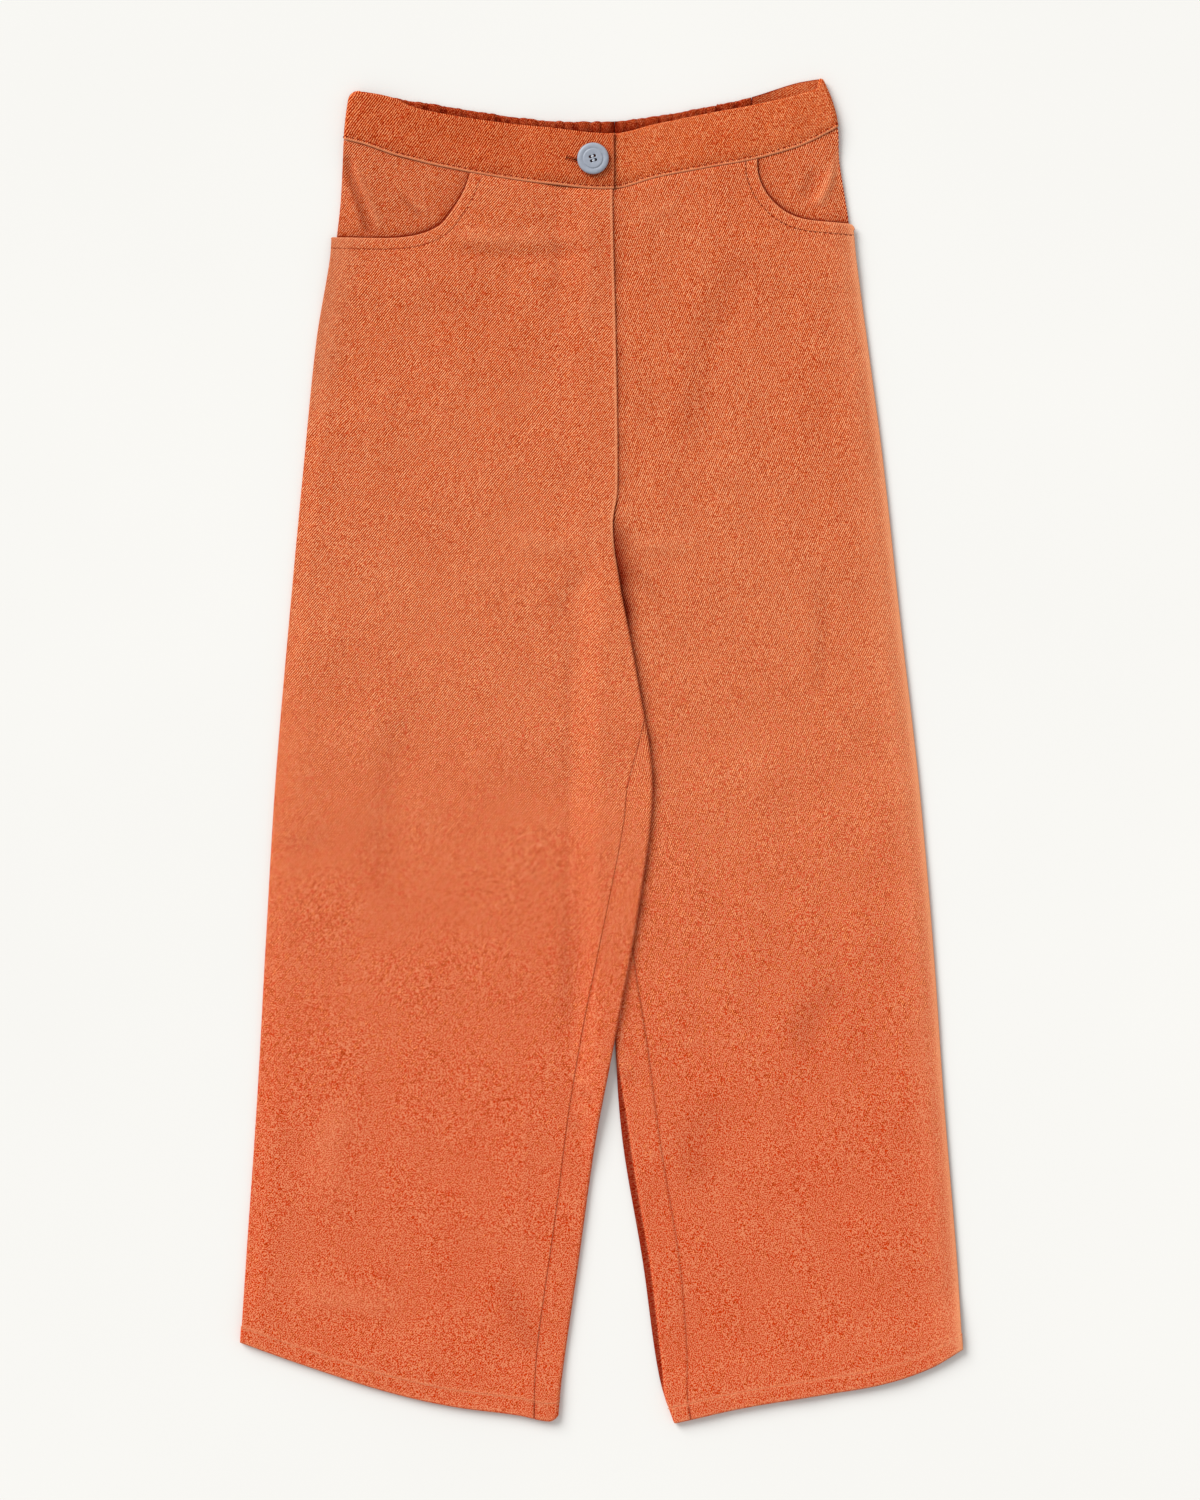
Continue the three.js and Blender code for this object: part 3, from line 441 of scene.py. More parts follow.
# A closed wall round a grid of middle points, with round edges that stand half the thickness
# beyond the grid. outer says which way z points on the outer face at the grid's first column.
def makeShell(name, points, thickness, outer, grain, marks, edgeShade=0.1):
    rows, columns = points.shape[:2]
    thickness = np.broadcast_to(thickness, (rows, columns))
    normal = unit(np.cross(np.gradient(points, axis=1), np.gradient(points, axis=0)))
    if normal[rows // 2, 1, 2] * outer < 0:
        normal = -normal
    half = thickness[..., None] / 2
    ring = [(0, j) for j in range(columns)]
    ring += [(i, columns - 1) for i in range(1, rows)]
    ring += [(rows - 1, j) for j in range(columns - 2, -1, -1)]
    ring += [(i, 0) for i in range(rows - 2, 0, -1)]
    ringI, ringJ = np.array(ring).T
    edge = points[ringI, ringJ]
    edgeNormal, edgeHalf = normal[ringI, ringJ], half[ringI, ringJ]
    before, after = unit(edge - np.roll(edge, 1, axis=0)), unit(np.roll(edge, -1, axis=0) - edge)
    bend = np.sqrt(np.clip(1 + np.sum(before * after, axis=1), 0, 2) / 2)  # cosine of half the turn
    outwards = unit(np.cross(before + after, edgeNormal)) / np.maximum(bend, 0.7)[:, None]
    middle = points[rows // 2, columns // 2]
    if (outwards[0] @ (edge[0] - middle)) < 0:
        outwards = -outwards
    grids = [points + half * normal, points - half * normal]
    turns = np.radians([50, 17, -17, -50])
    rims = [edge + edgeHalf * (np.sin(turn) * edgeNormal + np.cos(turn) * outwards) for turn in turns]
    # The grain runs on over the rim
    inside = np.clip(ringI, 1, rows - 2), np.clip(ringJ, 1, columns - 2)
    grainOut = unit(grain[ringI, ringJ] - grain[inside])
    rimGrain = [grain[ringI, ringJ] + grainOut * edgeHalf * (np.pi / 2 - turn) for turn in turns]
    vertices = np.concatenate([g.reshape(-1, 3) for g in grids] + rims)
    count, around = rows * columns, len(ring)
    index = np.arange(count).reshape(rows, columns)
    quads = np.stack([index[:-1, :-1], index[:-1, 1:], index[1:, 1:], index[1:, :-1]], axis=-1)
    quads = quads.reshape(-1, 4)
    flat = ringI * columns + ringJ
    loops = [flat] + [2 * count + k * around + np.arange(around) for k in range(len(rims))]
    loops.append(flat + count)
    bands = [
        np.stack([a, b, np.roll(b, -1), np.roll(a, -1)], axis=-1) for a, b in zip(loops[:-1], loops[1:])
    ]
    faces = np.concatenate([quads, quads[:, ::-1] + count] + bands)
    corners = vertices[faces]
    volume = np.einsum("ij,ij->", corners[:, 0], np.cross(corners[:, 1], corners[:, 2]))
    volume += np.einsum("ij,ij->", corners[:, 0], np.cross(corners[:, 2], corners[:, 3]))
    if volume < 0:
        faces = faces[:, ::-1]
    source = np.concatenate([np.arange(count), np.arange(count)] + [flat] * len(rims))
    grainAt = np.concatenate([grain.reshape(-1, 2), grain.reshape(-1, 2)] + rimGrain)
    obj = makeMesh(name, vertices, faces)
    grainMap = obj.data.uv_layers.new(name="grain")
    corner = np.empty(len(obj.data.loops), int)
    obj.data.loops.foreach_get("vertex_index", corner)
    grainMap.data.foreach_set("uv", (grainAt[corner] * mm).ravel())
    # Painted shade on the round edges, darker towards the side away from the outer face
    under = np.repeat([0.1, 0.6, 1.0, 1.0], around) * edgeShade
    for mark, values in marks.items():
        layer = obj.data.attributes.new(mark, "FLOAT", "POINT")
        values = np.broadcast_to(values, (rows, columns)).ravel()[source].astype(float)
        if mark == "shade":
            values[2 * count:] += under
        layer.data.foreach_set("value", values)
    return obj, points + half * normal


def inScene(name, data):
    obj = bpy.data.objects.new(name, data)
    scene.collection.objects.link(obj)
    return obj


def makeMesh(name, vertices, faces, edges=()):
    mesh = bpy.data.meshes.new(name)
    mesh.from_pydata((np.asarray(vertices) * mm).tolist(), edges, [list(map(int, f)) for f in faces])
    mesh.shade_smooth()
    return inScene(name, mesh)


# Grain of the cloth: lengths along and across it, turned by the panel's lean
def grainOf(along, y, lean):
    turn = np.radians(lean)
    across = along * np.cos(turn) - y * np.sin(turn)
    return np.stack([across, along * np.sin(turn) + y * np.cos(turn)], axis=-1)


legForm = {
    "rowStep": 3.0,
    "columns": 84,
    "lean": {"right": 8.3, "left": -8.3},  # degrees that the grain leans off the twill's own
    "stitchAboveHem": 12.0,
    "pocketStitchIn": 8.4,
    "mouthCorner": {"right": 0.8, "left": 4.0},  # radius where a pocket mouth meets the side
    "mouthLevel": 212,  # rows of a front panel that start at its pocket mouth end above this
    "flyStitch": [(-33, 409), (-32.9, 374), (-31.4, 310.6), (-29.2, 255.1), (-26.3, 218),
                  (-11, 203.3), (-0.7, 196.7), (10.5, 195)],
}
# Rows of a panel close to its hem, as heights above it, finest along the hem's stitching
hemSteps = [18, 16, 14.6, 13.6, 12.9, 12.4, 12, 11.6, 11.1, 10.2, 8.5, 6.5, 4.5, 3, 2, 1.2]


# Rows of a leg panel from a level above the crotch down to the hem
def legRows(leg, topLevel, outerTop, step):
    hemOuter, hemInner = (float(leg.hem(x)) for x in leg.hemEnds)
    levels = np.arange(topLevel, hemInner + hemSteps[0] + 1, -step)
    above = (topLevel - levels) / (topLevel - crotchY)
    below = np.clip((crotchY - levels) / (crotchY - hemInner), 0, 1)
    outer = np.where(
        levels > crotchY, mix(outerTop, crotchOuterY, above), mix(crotchOuterY, hemOuter, below)
    )
    steps = np.array(hemSteps)
    return SimpleNamespace(
        outerY=np.concatenate([outer, hemOuter + steps]),
        innerY=np.concatenate([levels, hemInner + steps]),
        hemFollow=np.concatenate([smooth(below, 0.3, 1), np.ones(len(steps))]),
        waistFollow=np.zeros(len(levels) + len(steps)),
    )


def joinRows(*parts):
    names = vars(parts[-1]).keys()
    return SimpleNamespace(**{n: np.concatenate([getattr(p, n) for p in parts]) for n in names})


# Points of a panel. Each row runs from the outer edge to the fold and round it to the panel's end
def panelPoints(leg, rows, edgeXAt, fromAbove, columns, place, waistBow):
    outerX, innerX = leg.hemEnds
    hemOuter, hemInner = leg.hem(outerX), leg.hem(innerX)
    startX, outerY, innerY, waistFollow, hemFollow = (
        getattr(rows, n)[:, None] for n in ("startX", "outerY", "innerY", "waistFollow", "hemFollow")
    )
    edge = edgeXAt(innerY)
    y = np.repeat(innerY, len(columns), axis=1)
    for _ in range(8):
        fold = foldAt(leg, edgeXAt(y), y)
        distance = place(fold, y, startX, columns)
        x, z, along, up, back = alongFold(leg, fold, distance, fromAbove, y)
        share = np.clip((x - startX) / (edge - startX), 0, 1)
        hemShare = np.clip((x - outerX) / (innerX - outerX), 0, 1)
        hemBow = leg.hem(x) - mix(hemOuter, hemInner, hemShare)
        fromEdge = np.clip(leg.outward * (x - leg.inner(y)), 0.3, None)
        corner = leg.hemCorner - np.sqrt(
            leg.hemCorner**2 - np.clip(leg.hemCorner - fromEdge, 0, None) ** 2
        )
        corner = corner * (1 - smooth(y - leg.hem(x), 8, 40))
        y = mix(outerY, innerY, share) + waistBow(x) * waistFollow + hemBow * hemFollow + corner
    z = z + frontRelief(leg, x, y) * up
    marks = SimpleNamespace(back=back, tone=creased(x, y, creases) * up,
                            toEnd=np.abs(along - along[:, -1:]))
    return np.stack([x, y, z], axis=-1), along, marks


# Marks that the cloth's colour follows, paler for wear, painted highlights and painted sheen, darker for
# painted shade: each one's strength, how far its middle is from the edge or line that it follows, and its
# width
legMarks = {
    # paler along the hem's edge and along the line of its stitching
    "hemEdgePale": (0.2, 1.2, 1.5),
    "hemStitchPale": (0.45, 12.4, 1.1),
    # paler round the middle height of the legs
    "midLegPaling": (0.16, 0, 190),
    # painted highlight on the rounded lip of the fly's edge
    "flyLipHighlight": (0.7, 0.7, 0.8),
    # painted highlight on the lip of each pocket mouth
    "mouthLipHighlight": (0.3, 0.6, 1.1),
    # painted sheen along the left leg's outer edge, narrow and broad
    "leftSideSheen": (0.7, 0, 4.0),
    "leftFlankSheen": (0.3, 0, 18),
    # painted shade along the right leg's side below the pocket, greyed with the pale colour
    "hipGreying": (0.45, 0, 15),
    "hipShade": (0.3, 0, 15),
    "inseamShade": (0.2, 0, 0.45),
    "lapShade": (0.12, 0, 1.0),
}
noStitches = 0.04  # metres from any stitching
# Painted shade in crease troughs and on the ledge under the left leg's fold; wear and painted highlight on
# crease ridges
creaseMarks = {"shade": 0.15, "wear": 0.2, "ledgeShade": 0.95}


def mark(name, distance):
    strength, middle, width = legMarks[name]
    return strength * bell(distance - middle, width)


# Painted shade along the inseam and in troughs; paler along the hem; wear and painted highlight on ridges
def panelMarks(leg, x, y, marks):
    onLeg = 1 - smooth(y, crotchY - 30, crotchY - 6)
    above = y - leg.hem(x)
    shade = creaseMarks["ledgeShade"] * marks.back + creaseMarks["shade"] * np.clip(-marks.tone, 0, 1)
    shade += onLeg * mark("inseamShade", marks.toEnd)
    wear = mark("hemEdgePale", above) + mark("hemStitchPale", above) + mark("midLegPaling", y)
    return shade, wear + creaseMarks["wear"] * np.clip(marks.tone, 0, 1), onLeg


# Shade that the right half throws where it laps over the left half
def lapShade(x, y):
    past = np.maximum(x - rightLeg.inner(y), 0)
    wavy = 0.5 + 0.5 * np.sin(y / 7 + 2 * np.sin(y / 17))
    edge = smooth(y, -215, -190) * (mark("lapShade", past) + (0.12 + 0.3 * wavy) * bell(past, 5.5))
    crotch = smooth(y, 70, 105) * (1 - smooth(y, 152, 176))
    return edge + 0.75 * bell(past, mix(7, 11, smooth(y, 90, 130))) * crotch


# Points of a panel from 0 at the outer edge to 1 at the fold and 2 at the end, closer where it bends
def spread(*stretches):
    parts = [np.linspace(low, high, number)[:-1] for low, high, number in stretches]
    return np.concatenate(parts + [stretches[-1][1:2]])


# The shell of a panel, and the line on its surface that the hem's stitching follows
def sewnPanel(side, leg, rows, points, along, outer, stitchLine, shade, wear):
    x, y = points[..., 0], points[..., 1]
    lean = outer * legForm["lean"][leg.name]
    obj, surface = makeShell(
        f"{side}_{leg.name}_cloth", points, wall(leg, x, y), outer, grainOf(outer * along, y, lean),
        {"stitchLine": stitchLine * mm, "shade": shade, "wear": wear},
    )
    hemRow = len(rows.innerY) - len(hemSteps) + hemSteps.index(legForm["stitchAboveHem"])
    return obj, surface[hemRow]


def frontPanel(leg, centreFrontX):
    columns = spread((0, 0.07, 10), (0.07, 1, legForm["columns"]), (1, 2, 13))
    into = movedLine(leg.mouth, -leg.outward * thick / 2)  # the mouth's edge, inside its round rim
    stops = np.concatenate([np.linspace(0, 1, 44)[:-1], [0.984, 0.99, 0.994, 0.997, 0.999]])
    start = pointsOn(into, stops).T
    corner = legForm["mouthCorner"][leg.name]
    toCorner = np.clip(corner - leg.outward * (into[-1, 0] - start[0]), 0, corner)
    start[1] -= corner - np.sqrt(corner**2 - toCorner**2)
    centreX = float(centreFrontX(centreFrontY))
    centreTop = float(waistSeam(centreX)) - topDrop
    start[1, 0] = waistSeam(start[0, 0]) - topDrop
    topX, topY = start[:, 0]
    firstLevel = legForm["mouthLevel"]
    mouthRows = SimpleNamespace(
        startX=start[0],
        outerY=start[1],
        innerY=mix(centreTop, firstLevel + 3.4, stops**0.9),
        hemFollow=0 * stops,
        waistFollow=1 - stops,
    )
    lower = legRows(leg, firstLevel, into[-1, 1] - corner, legForm["rowStep"])
    lower.startX = leg.panelEdge(lower.outerY) - leg.outward * thick / 2
    rows = joinRows(mouthRows, lower)

    def waistBow(x):
        along = np.clip((x - topX) / (centreX - topX), 0, 1)
        return waistSeam(mix(topX, centreX, along)) - topDrop - mix(topY, centreTop, along)

    def place(fold, y, startX, columns):
        end = panelEnd(leg, fold, y, True)
        turn = np.minimum(end, 0) - 3
        flat = mix(-np.abs(fold.centreX - startX), turn, columns)
        return np.where(columns > 1, mix(turn, end, columns - 1), flat)

    points, along, marks = panelPoints(leg, rows, centreFrontX, True, columns, place, waistBow)
    x, y = points[..., 0], points[..., 1]
    shade, wear, onLeg = panelMarks(leg, x, y, marks)
    stitchLine = offsetFrom(movedLine(leg.mouth, -leg.outward * legForm["pocketStitchIn"]), x, y)[0]
    if leg is rightLeg:
        fly = np.hypot(offsetFrom(smoothPath(legForm["flyStitch"]), x, y)[0], 0.45)
        stitchLine = np.where(fly < np.abs(stitchLine), fly, stitchLine)
        belowPocket = smooth(y, 215, 300)
        # Painted highlight on the lip of the fly's edge
        wear += (1 - onLeg) * mark("flyLipHighlight", marks.toEnd)
        # Painted shade, greyed, along the side below the pocket
        wear += mark("hipGreying", fromSide(leg, x, y)) * belowPocket
        shade += mark("hipShade", fromSide(leg, x, y)) * belowPocket
    else:
        shade += lapShade(x, y)
        # Painted sheen along the left leg's outer edge
        wear += mark("leftSideSheen", fromSide(leg, x, y)) + mark("leftFlankSheen", fromSide(leg, x, y))
    hemLine = y - leg.hem(x) - legForm["stitchAboveHem"]
    stitchLine = np.where(np.abs(hemLine) < np.abs(stitchLine), hemLine, stitchLine)
    # Painted highlight along the lip of the pocket mouth
    wear += mark("mouthLipHighlight", np.abs(offsetFrom(leg.mouth, x, y)[0]))
    return sewnPanel("front", leg, rows, points, along, 1, stitchLine, shade, wear)


foldShare = 1.72  # the share of a back panel's columns that reaches round the fold


def backPanel(leg, edgeXAt):
    columns = spread((0, 0.06, 7), (0.06, 1, 56), (1, foldShare, 15), (foldShare, 2, 12))
    outerTop = float(backTop(leg.sideEdge(446))) - backBandHeight - topDrop
    rows = legRows(leg, centreBackY, outerTop, legForm["rowStep"] * 4 / 3)
    onHip = smooth(rows.outerY, 330, 376)
    rows.startX = mix(leg.panelEdge(rows.outerY), leg.sideEdge(rows.outerY), onHip)
    rows.startX -= leg.outward * thick / 2
    rows.waistFollow = np.clip((rows.innerY - 300) / (centreBackY - 300), 0, 1)
    topX = rows.startX[0]

    def waistBow(x):
        along = np.clip((x - topX) / (centreBackX - topX), 0, 1)
        return backTop(x) - backBandHeight - topDrop - mix(outerTop, centreBackY, along)

    def place(fold, y, startX, columns):
        end = panelEnd(leg, fold, y, False)
        turned = np.minimum(np.pi * fold.radius, 0.7 * end)
        flat = mix(-np.abs(fold.centreX - startX), 0, columns)
        rounding = turned * (columns - 1) / (foldShare - 1)
        onward = mix(turned, end, (columns - foldShare) / (2 - foldShare))
        return np.select([columns <= 1, columns <= foldShare], [flat, rounding], onward)

    points, along, marks = panelPoints(leg, rows, edgeXAt, False, columns, place, waistBow)
    x, y = points[..., 0], points[..., 1]
    shade, wear, _ = panelMarks(leg, x, y, marks)
    stitchLine = y - leg.hem(x) - legForm["stitchAboveHem"]
    return sewnPanel("back", leg, rows, points, along, -1, stitchLine, shade, wear)


def leftCentreFront(y):
    underlap = smooth(y, flyBottomY - 16, flyBottomY)
    lapped = mix(rightLeg.inner(y) + join, rightLeg.inner(y) - flyUnderlap, underlap)
    return np.where(y > crotchY + 15, lapped, leftLeg.inner(y))


def backEdge(leg):
    def edge(y):
        seam = centreBackX + leg.outward * join / 2
        return mix(leg.inner(np.minimum(y, 190)), seam, smooth(y, crotchY - 4, crotchY + 24))
    return edge


pieces, hemLines = {}, {}
for leg, centreFrontX in ((rightLeg, rightLeg.inner), (leftLeg, leftCentreFront)):
    node = f"front_{leg.name}"
    pieces[node], hemLines[node] = frontPanel(leg, centreFrontX)
for leg in legs:
    node = f"back_{leg.name}"
    pieces[node], hemLines[node] = backPanel(leg, backEdge(leg))
print("leg panels made")

facingForm = {
    "along": 91,
    "across": 64,
    "drop": 0.1,
    "line": 1.1,  # width of the painted shade line in the pocket mouth
    "shade": {"right": 0.14, "left": 0.02},
}


# Cloth seen inside a pocket mouth, from the waistband and the side to a line hidden behind it
def hipFacing(leg):
    inset = thick / 2
    drop = facingForm["drop"] + inset
    cornerX = float(leg.sideEdge(waistSeam(leg.sideEdge(446)))) - leg.outward * inset
    cornerY = float(waistSeam(cornerX)) - drop
    hiddenLine = movedLine(leg.mouth, -leg.outward * (cloth["pocketHide"] - inset))
    u = np.linspace(0, 1, facingForm["along"])
    hidden = pointsOn(hiddenLine, u)
    topX, endY = hidden[0, 0], hidden[-1, 1]
    hidden[0, 1] = waistSeam(topX) - drop
    hidden[-1, 0] = leg.sideEdge(endY) - leg.outward * inset
    alongTop = mix(topX + 3 * leg.outward, cornerX, u / 0.5)
    downSide = mix(cornerY, endY + 3, (u - 0.5) / 0.5)
    onTop = u <= 0.5
    sideX = leg.sideEdge(downSide) - leg.outward * inset
    outsideY = np.where(onTop, waistSeam(alongTop) - drop, downSide)
    outside = np.stack([np.where(onTop, alongTop, sideX), outsideY], -1)
    v = np.linspace(0, 1, facingForm["across"])[None, :, None]
    flat = mix(hidden[:, None], outside[:, None], v)
    x, y = flat[..., 0], flat[..., 1]
    opening, share = offsetFrom(leg.mouth, x, y, 130.0)
    opening = leg.outward * opening
    z = facingZ(leg, x, y) + frontRelief(leg, x, y)
    tone = creased(x, y, facingCreases) * smooth(opening, 1, 9)
    z += tone * smooth(leg.outward * (leg.sideEdge(y) - x), 1, 9)
    # Painted shade in the pocket mouth and in the facing's troughs; wear and painted highlight on its
    # ridges
    line = facingForm["line"] * (1 + 0.8 * bell(share - 0.4, 0.2))
    shade = bell(np.maximum(opening, 0), line) + 0.25 * bell(opening, 7) + 0.3 * np.clip(-tone, 0, 1)
    shade += facingForm["shade"][leg.name]
    obj, _ = makeShell(
        f"hip_facing_{leg.name}_cloth", np.stack([x, y, z], axis=-1), thick, 1,
        grainOf(x, y, legForm["lean"][leg.name]),
        {"stitchLine": noStitches, "shade": shade, "wear": 0.3 * np.clip(tone, 0, 1)},
    )
    return obj


for leg in legs:
    pieces[f"hip_facing_{leg.name}"] = hipFacing(leg)

bandForm = {
    "thickness": 2.4,
    "height": backBandHeight,
    "frontZ": 5.5,  # middle of the band at the front, under the lap
    "lapRise": 2.7,
    "underlap": 33,
    "stitchIn": 2.6,  # above the lower edge
    "lip": 0.35,
    "groove": 0.15,
    "pucker": 0.12,
    "corner": {"right": 5.5, "left": 0.8},  # radius at the top of the side
    "insideShade": 0.55,
    "edgeShade": 0.75,
    "marks": {  # strength and width of each
        # wear and painted highlight on the ridge of the lower edge
        "seamRidgeWearAndLight": (0.75, 0.25),
        "stitchShade": (0.6, 0.45),
        # painted highlight on the lip of the right band's lapped end
        "lapLipHighlight": (0.2, 0.7),
        "buttonShade": (0.45, 0.8),
        "lapShade": (0.9, 0.8),
        "holeShade": (0.9, 1.5),
    },
    "edgeDrop": 0.9,  # the lower edge sinks to the panels below it
    "lapEdgeDrop": 2.0,  # and more where the ends lap
    "lapFrom": (-62, -32),  # x over which the right band comes to its lap
    "lapTo": (10, 34),  # and over which the left band leaves it
    "buttonRim": 11.3,  # radius of the shade round the button
    "button": (-5.8, 430.8),
    "buttonhole": [(-25.2, 431.8), (-17, 429.8), (-3, 430.4)],
    "holeWidths": (0.5, 1.5),  # at its closed end, and where the button's shank opens it
    "holeStitches": 1.25,  # middle of the stitches, from the middle of the hole
    "holeCut": (4.5, 12),  # from under the lap to above it
    "lapEdge": 9.8,
    "elasticEnds": {"right": -154, "left": 110},
}
bandHalf = bandForm["thickness"] / 2
bandBackZ = bandHalf
stepsHeight = 38
# Rows of a band as heights above its lower edge, for a band of stepsHeight
bandSteps = np.array([1.2, 1.5, 1.8, 2.1, 2.4, 2.6, 2.8, 3, 3.2, 3.5, 4, 4.8, 6, *range(8, 35, 2),
                      35.4, 36.3, 36.8])


holePath = smoothPath(bandForm["buttonhole"], 40)


def bandMark(name, distance):
    strength, width = bandForm["marks"][name]
    return strength * bell(distance, width)


# Soft height of a band's cloth
def bandRelief(x, y):
    return 0.8 * undulate(1.4 * x + 40, 1.4 * y) + creased(x, y, bandCreases)


def frontBand(leg, startX, elasticEnd):
    nominal = bandSteps[:, None]
    evenTo, evenFrom = 8, 30  # rows outside these keep their distance from the band's edges

    # Height of each row, at x, from the front's edges to the back's
    def heightAt(x, back):
        low = mix(waistSeam(x), backTop(x) - bandForm["height"], back)
        high = mix(frontTop(x), backTop(x), smooth(back, 0, 0.3))
        between = (nominal - evenTo) / (stepsHeight - evenTo) * (high - low - evenTo)
        above = np.where(nominal < evenTo, nominal, evenTo + between)
        return np.where(nominal > evenFrom, high - (stepsHeight - nominal), low + above), low

    sideX = float(leg.sideEdge(468))
    radius = (bandForm["frontZ"] - bandBackZ) / 2
    share = (nominal - bandSteps[0]) / (bandSteps[-1] - bandSteps[0])
    foldX = leg.sideEdge(mix(float(waistSeam(sideX)), float(frontTop(sideX)), share))
    corner = bandForm["corner"][leg.name]
    nearTop = np.clip(corner - (1 - share) * bandForm["height"], 0, corner)
    foldX = foldX - leg.outward * (corner - np.sqrt(corner**2 - nearTop**2))
    centreX = foldX - leg.outward * (radius + bandHalf)
    start = startX + leg.outward * bandHalf
    end = elasticEnd + leg.outward * (join / 2 + bandHalf)
    across = spread((0, 0.02, 4), (0.02, 1, int(abs(start - sideX) / 1.3)))
    turns = np.linspace(0, 1, 16)[1:-1]
    behind = np.linspace(0, 1, int(abs(end - sideX) / 2))
    frontX = mix(start, centreX, across)
    turnX = centreX + leg.outward * radius * np.sin(np.pi * turns)
    behindX = mix(centreX, end, behind)
    x = np.concatenate([frontX, turnX, behindX], axis=1)
    angle = np.pi * np.concatenate([0 * across, turns, 1 + 0 * behind])[None, :]
    back = angle / np.pi
    inLap = smooth(x, *bandForm["lapFrom"]) if leg is rightLeg else 1 - smooth(x, *bandForm["lapTo"])
    lapped = bandForm["lapRise"] * inLap if leg is rightLeg else 0
    z = np.where(back > 0, bandBackZ + radius * (1 + np.cos(angle)), bandForm["frontZ"] + lapped)
    y, low = heightAt(x, back)
    fromSeam = y - low
    lift = bandForm["lip"] * bell(fromSeam - 1.3, 0.7) * (1 - back)
    lift = lift - bandForm["groove"] * bell(fromSeam - bandForm["stitchIn"], 0.42)
    sink = mix(bandForm["edgeDrop"], bandForm["lapEdgeDrop"], inLap) * (1 - smooth(fromSeam, 1, 9))
    z = z - sink * (1 - smooth(back, 0, 0.5))
    pucker = bandForm["pucker"] * np.sin(x / 1.7 + 2 * np.sin(x / 9)) * bell(fromSeam - 4, 2.5)
    soft = bandRelief(x, y) * (1 - back)
    lift = lift + pucker + soft * smooth(np.abs(x - start), 0, 12)
    x = x + leg.outward * np.sin(angle) * lift
    z = z + np.cos(angle) * lift
    points = np.stack([x, y, z], axis=-1)
    steps = np.linalg.norm(np.diff(points, axis=1), axis=2)
    pathX = np.concatenate([np.zeros((len(points), 1)), np.cumsum(steps, axis=1)], axis=1)
    grain = np.stack([leg.outward * pathX, fromSeam], axis=-1)
    outside = 1 - smooth(back, 0.4, 0.8)
    # Wear and painted highlight on the lower edge's ridge; painted shade along the stitching and inside
    wear = bandMark("seamRidgeWearAndLight", fromSeam - 1.2) * outside
    inside = (1 - outside) * (1 if leg is rightLeg else 1 - 0.8 * smooth(x, 112, 140))
    shade = bandMark("stitchShade", fromSeam - bandForm["stitchIn"]) + bandForm["insideShade"] * inside
    if leg is rightLeg:
        # Painted highlight on the lip of the lapped end
        wear = wear + bandMark("lapLipHighlight", bandForm["lapEdge"] - x - 0.8)
        fromButton = np.hypot(x - bandForm["button"][0], y - bandForm["button"][1])
        shade = shade + bandMark("buttonShade", np.maximum(fromButton - bandForm["buttonRim"], 0))
    else:
        pastLap = np.maximum(x - bandForm["lapEdge"] - 0.5 * np.sin(y / 1.9), 0)
        shade = shade + bandMark("lapShade", pastLap) * outside
        shade = shade + bandMark("holeShade", offsetFrom(holePath, x, y)[0])
    obj, surface = makeShell(
        f"waistband_front_{leg.name}_cloth", points, bandForm["thickness"], 1, grain,
        {"stitchLine": noStitches, "shade": shade, "wear": wear}, bandForm["edgeShade"],
    )
    return obj, surface[int(np.searchsorted(bandSteps, bandForm["stitchIn"]))]


bandLines = {}
for leg, underlap in ((rightLeg, 0), (leftLeg, bandForm["underlap"])):
    node = f"waistband_front_{leg.name}"
    startX = bandForm["lapEdge"] - underlap
    pieces[node], bandLines[node] = frontBand(leg, startX, bandForm["elasticEnds"][leg.name])

# Back waistband, gathered on elastic
elasticForm = {
    "gatherHeight": 1.7,
    "spacing": (2.5, 10),  # between the creases of the gathers
    "lean": 4.5,
    "bumpyTop": 0.9,
    "shade": 0.46,  # inside of the waist
    "valleyShade": 1.2,
    "seamShade": 0.7,
    "behindShade": 0.45,  # behind the front band
    "gathers": 60,
    "stretch": 1.25,  # cloth to each length of the band
    "seed": 5,
}


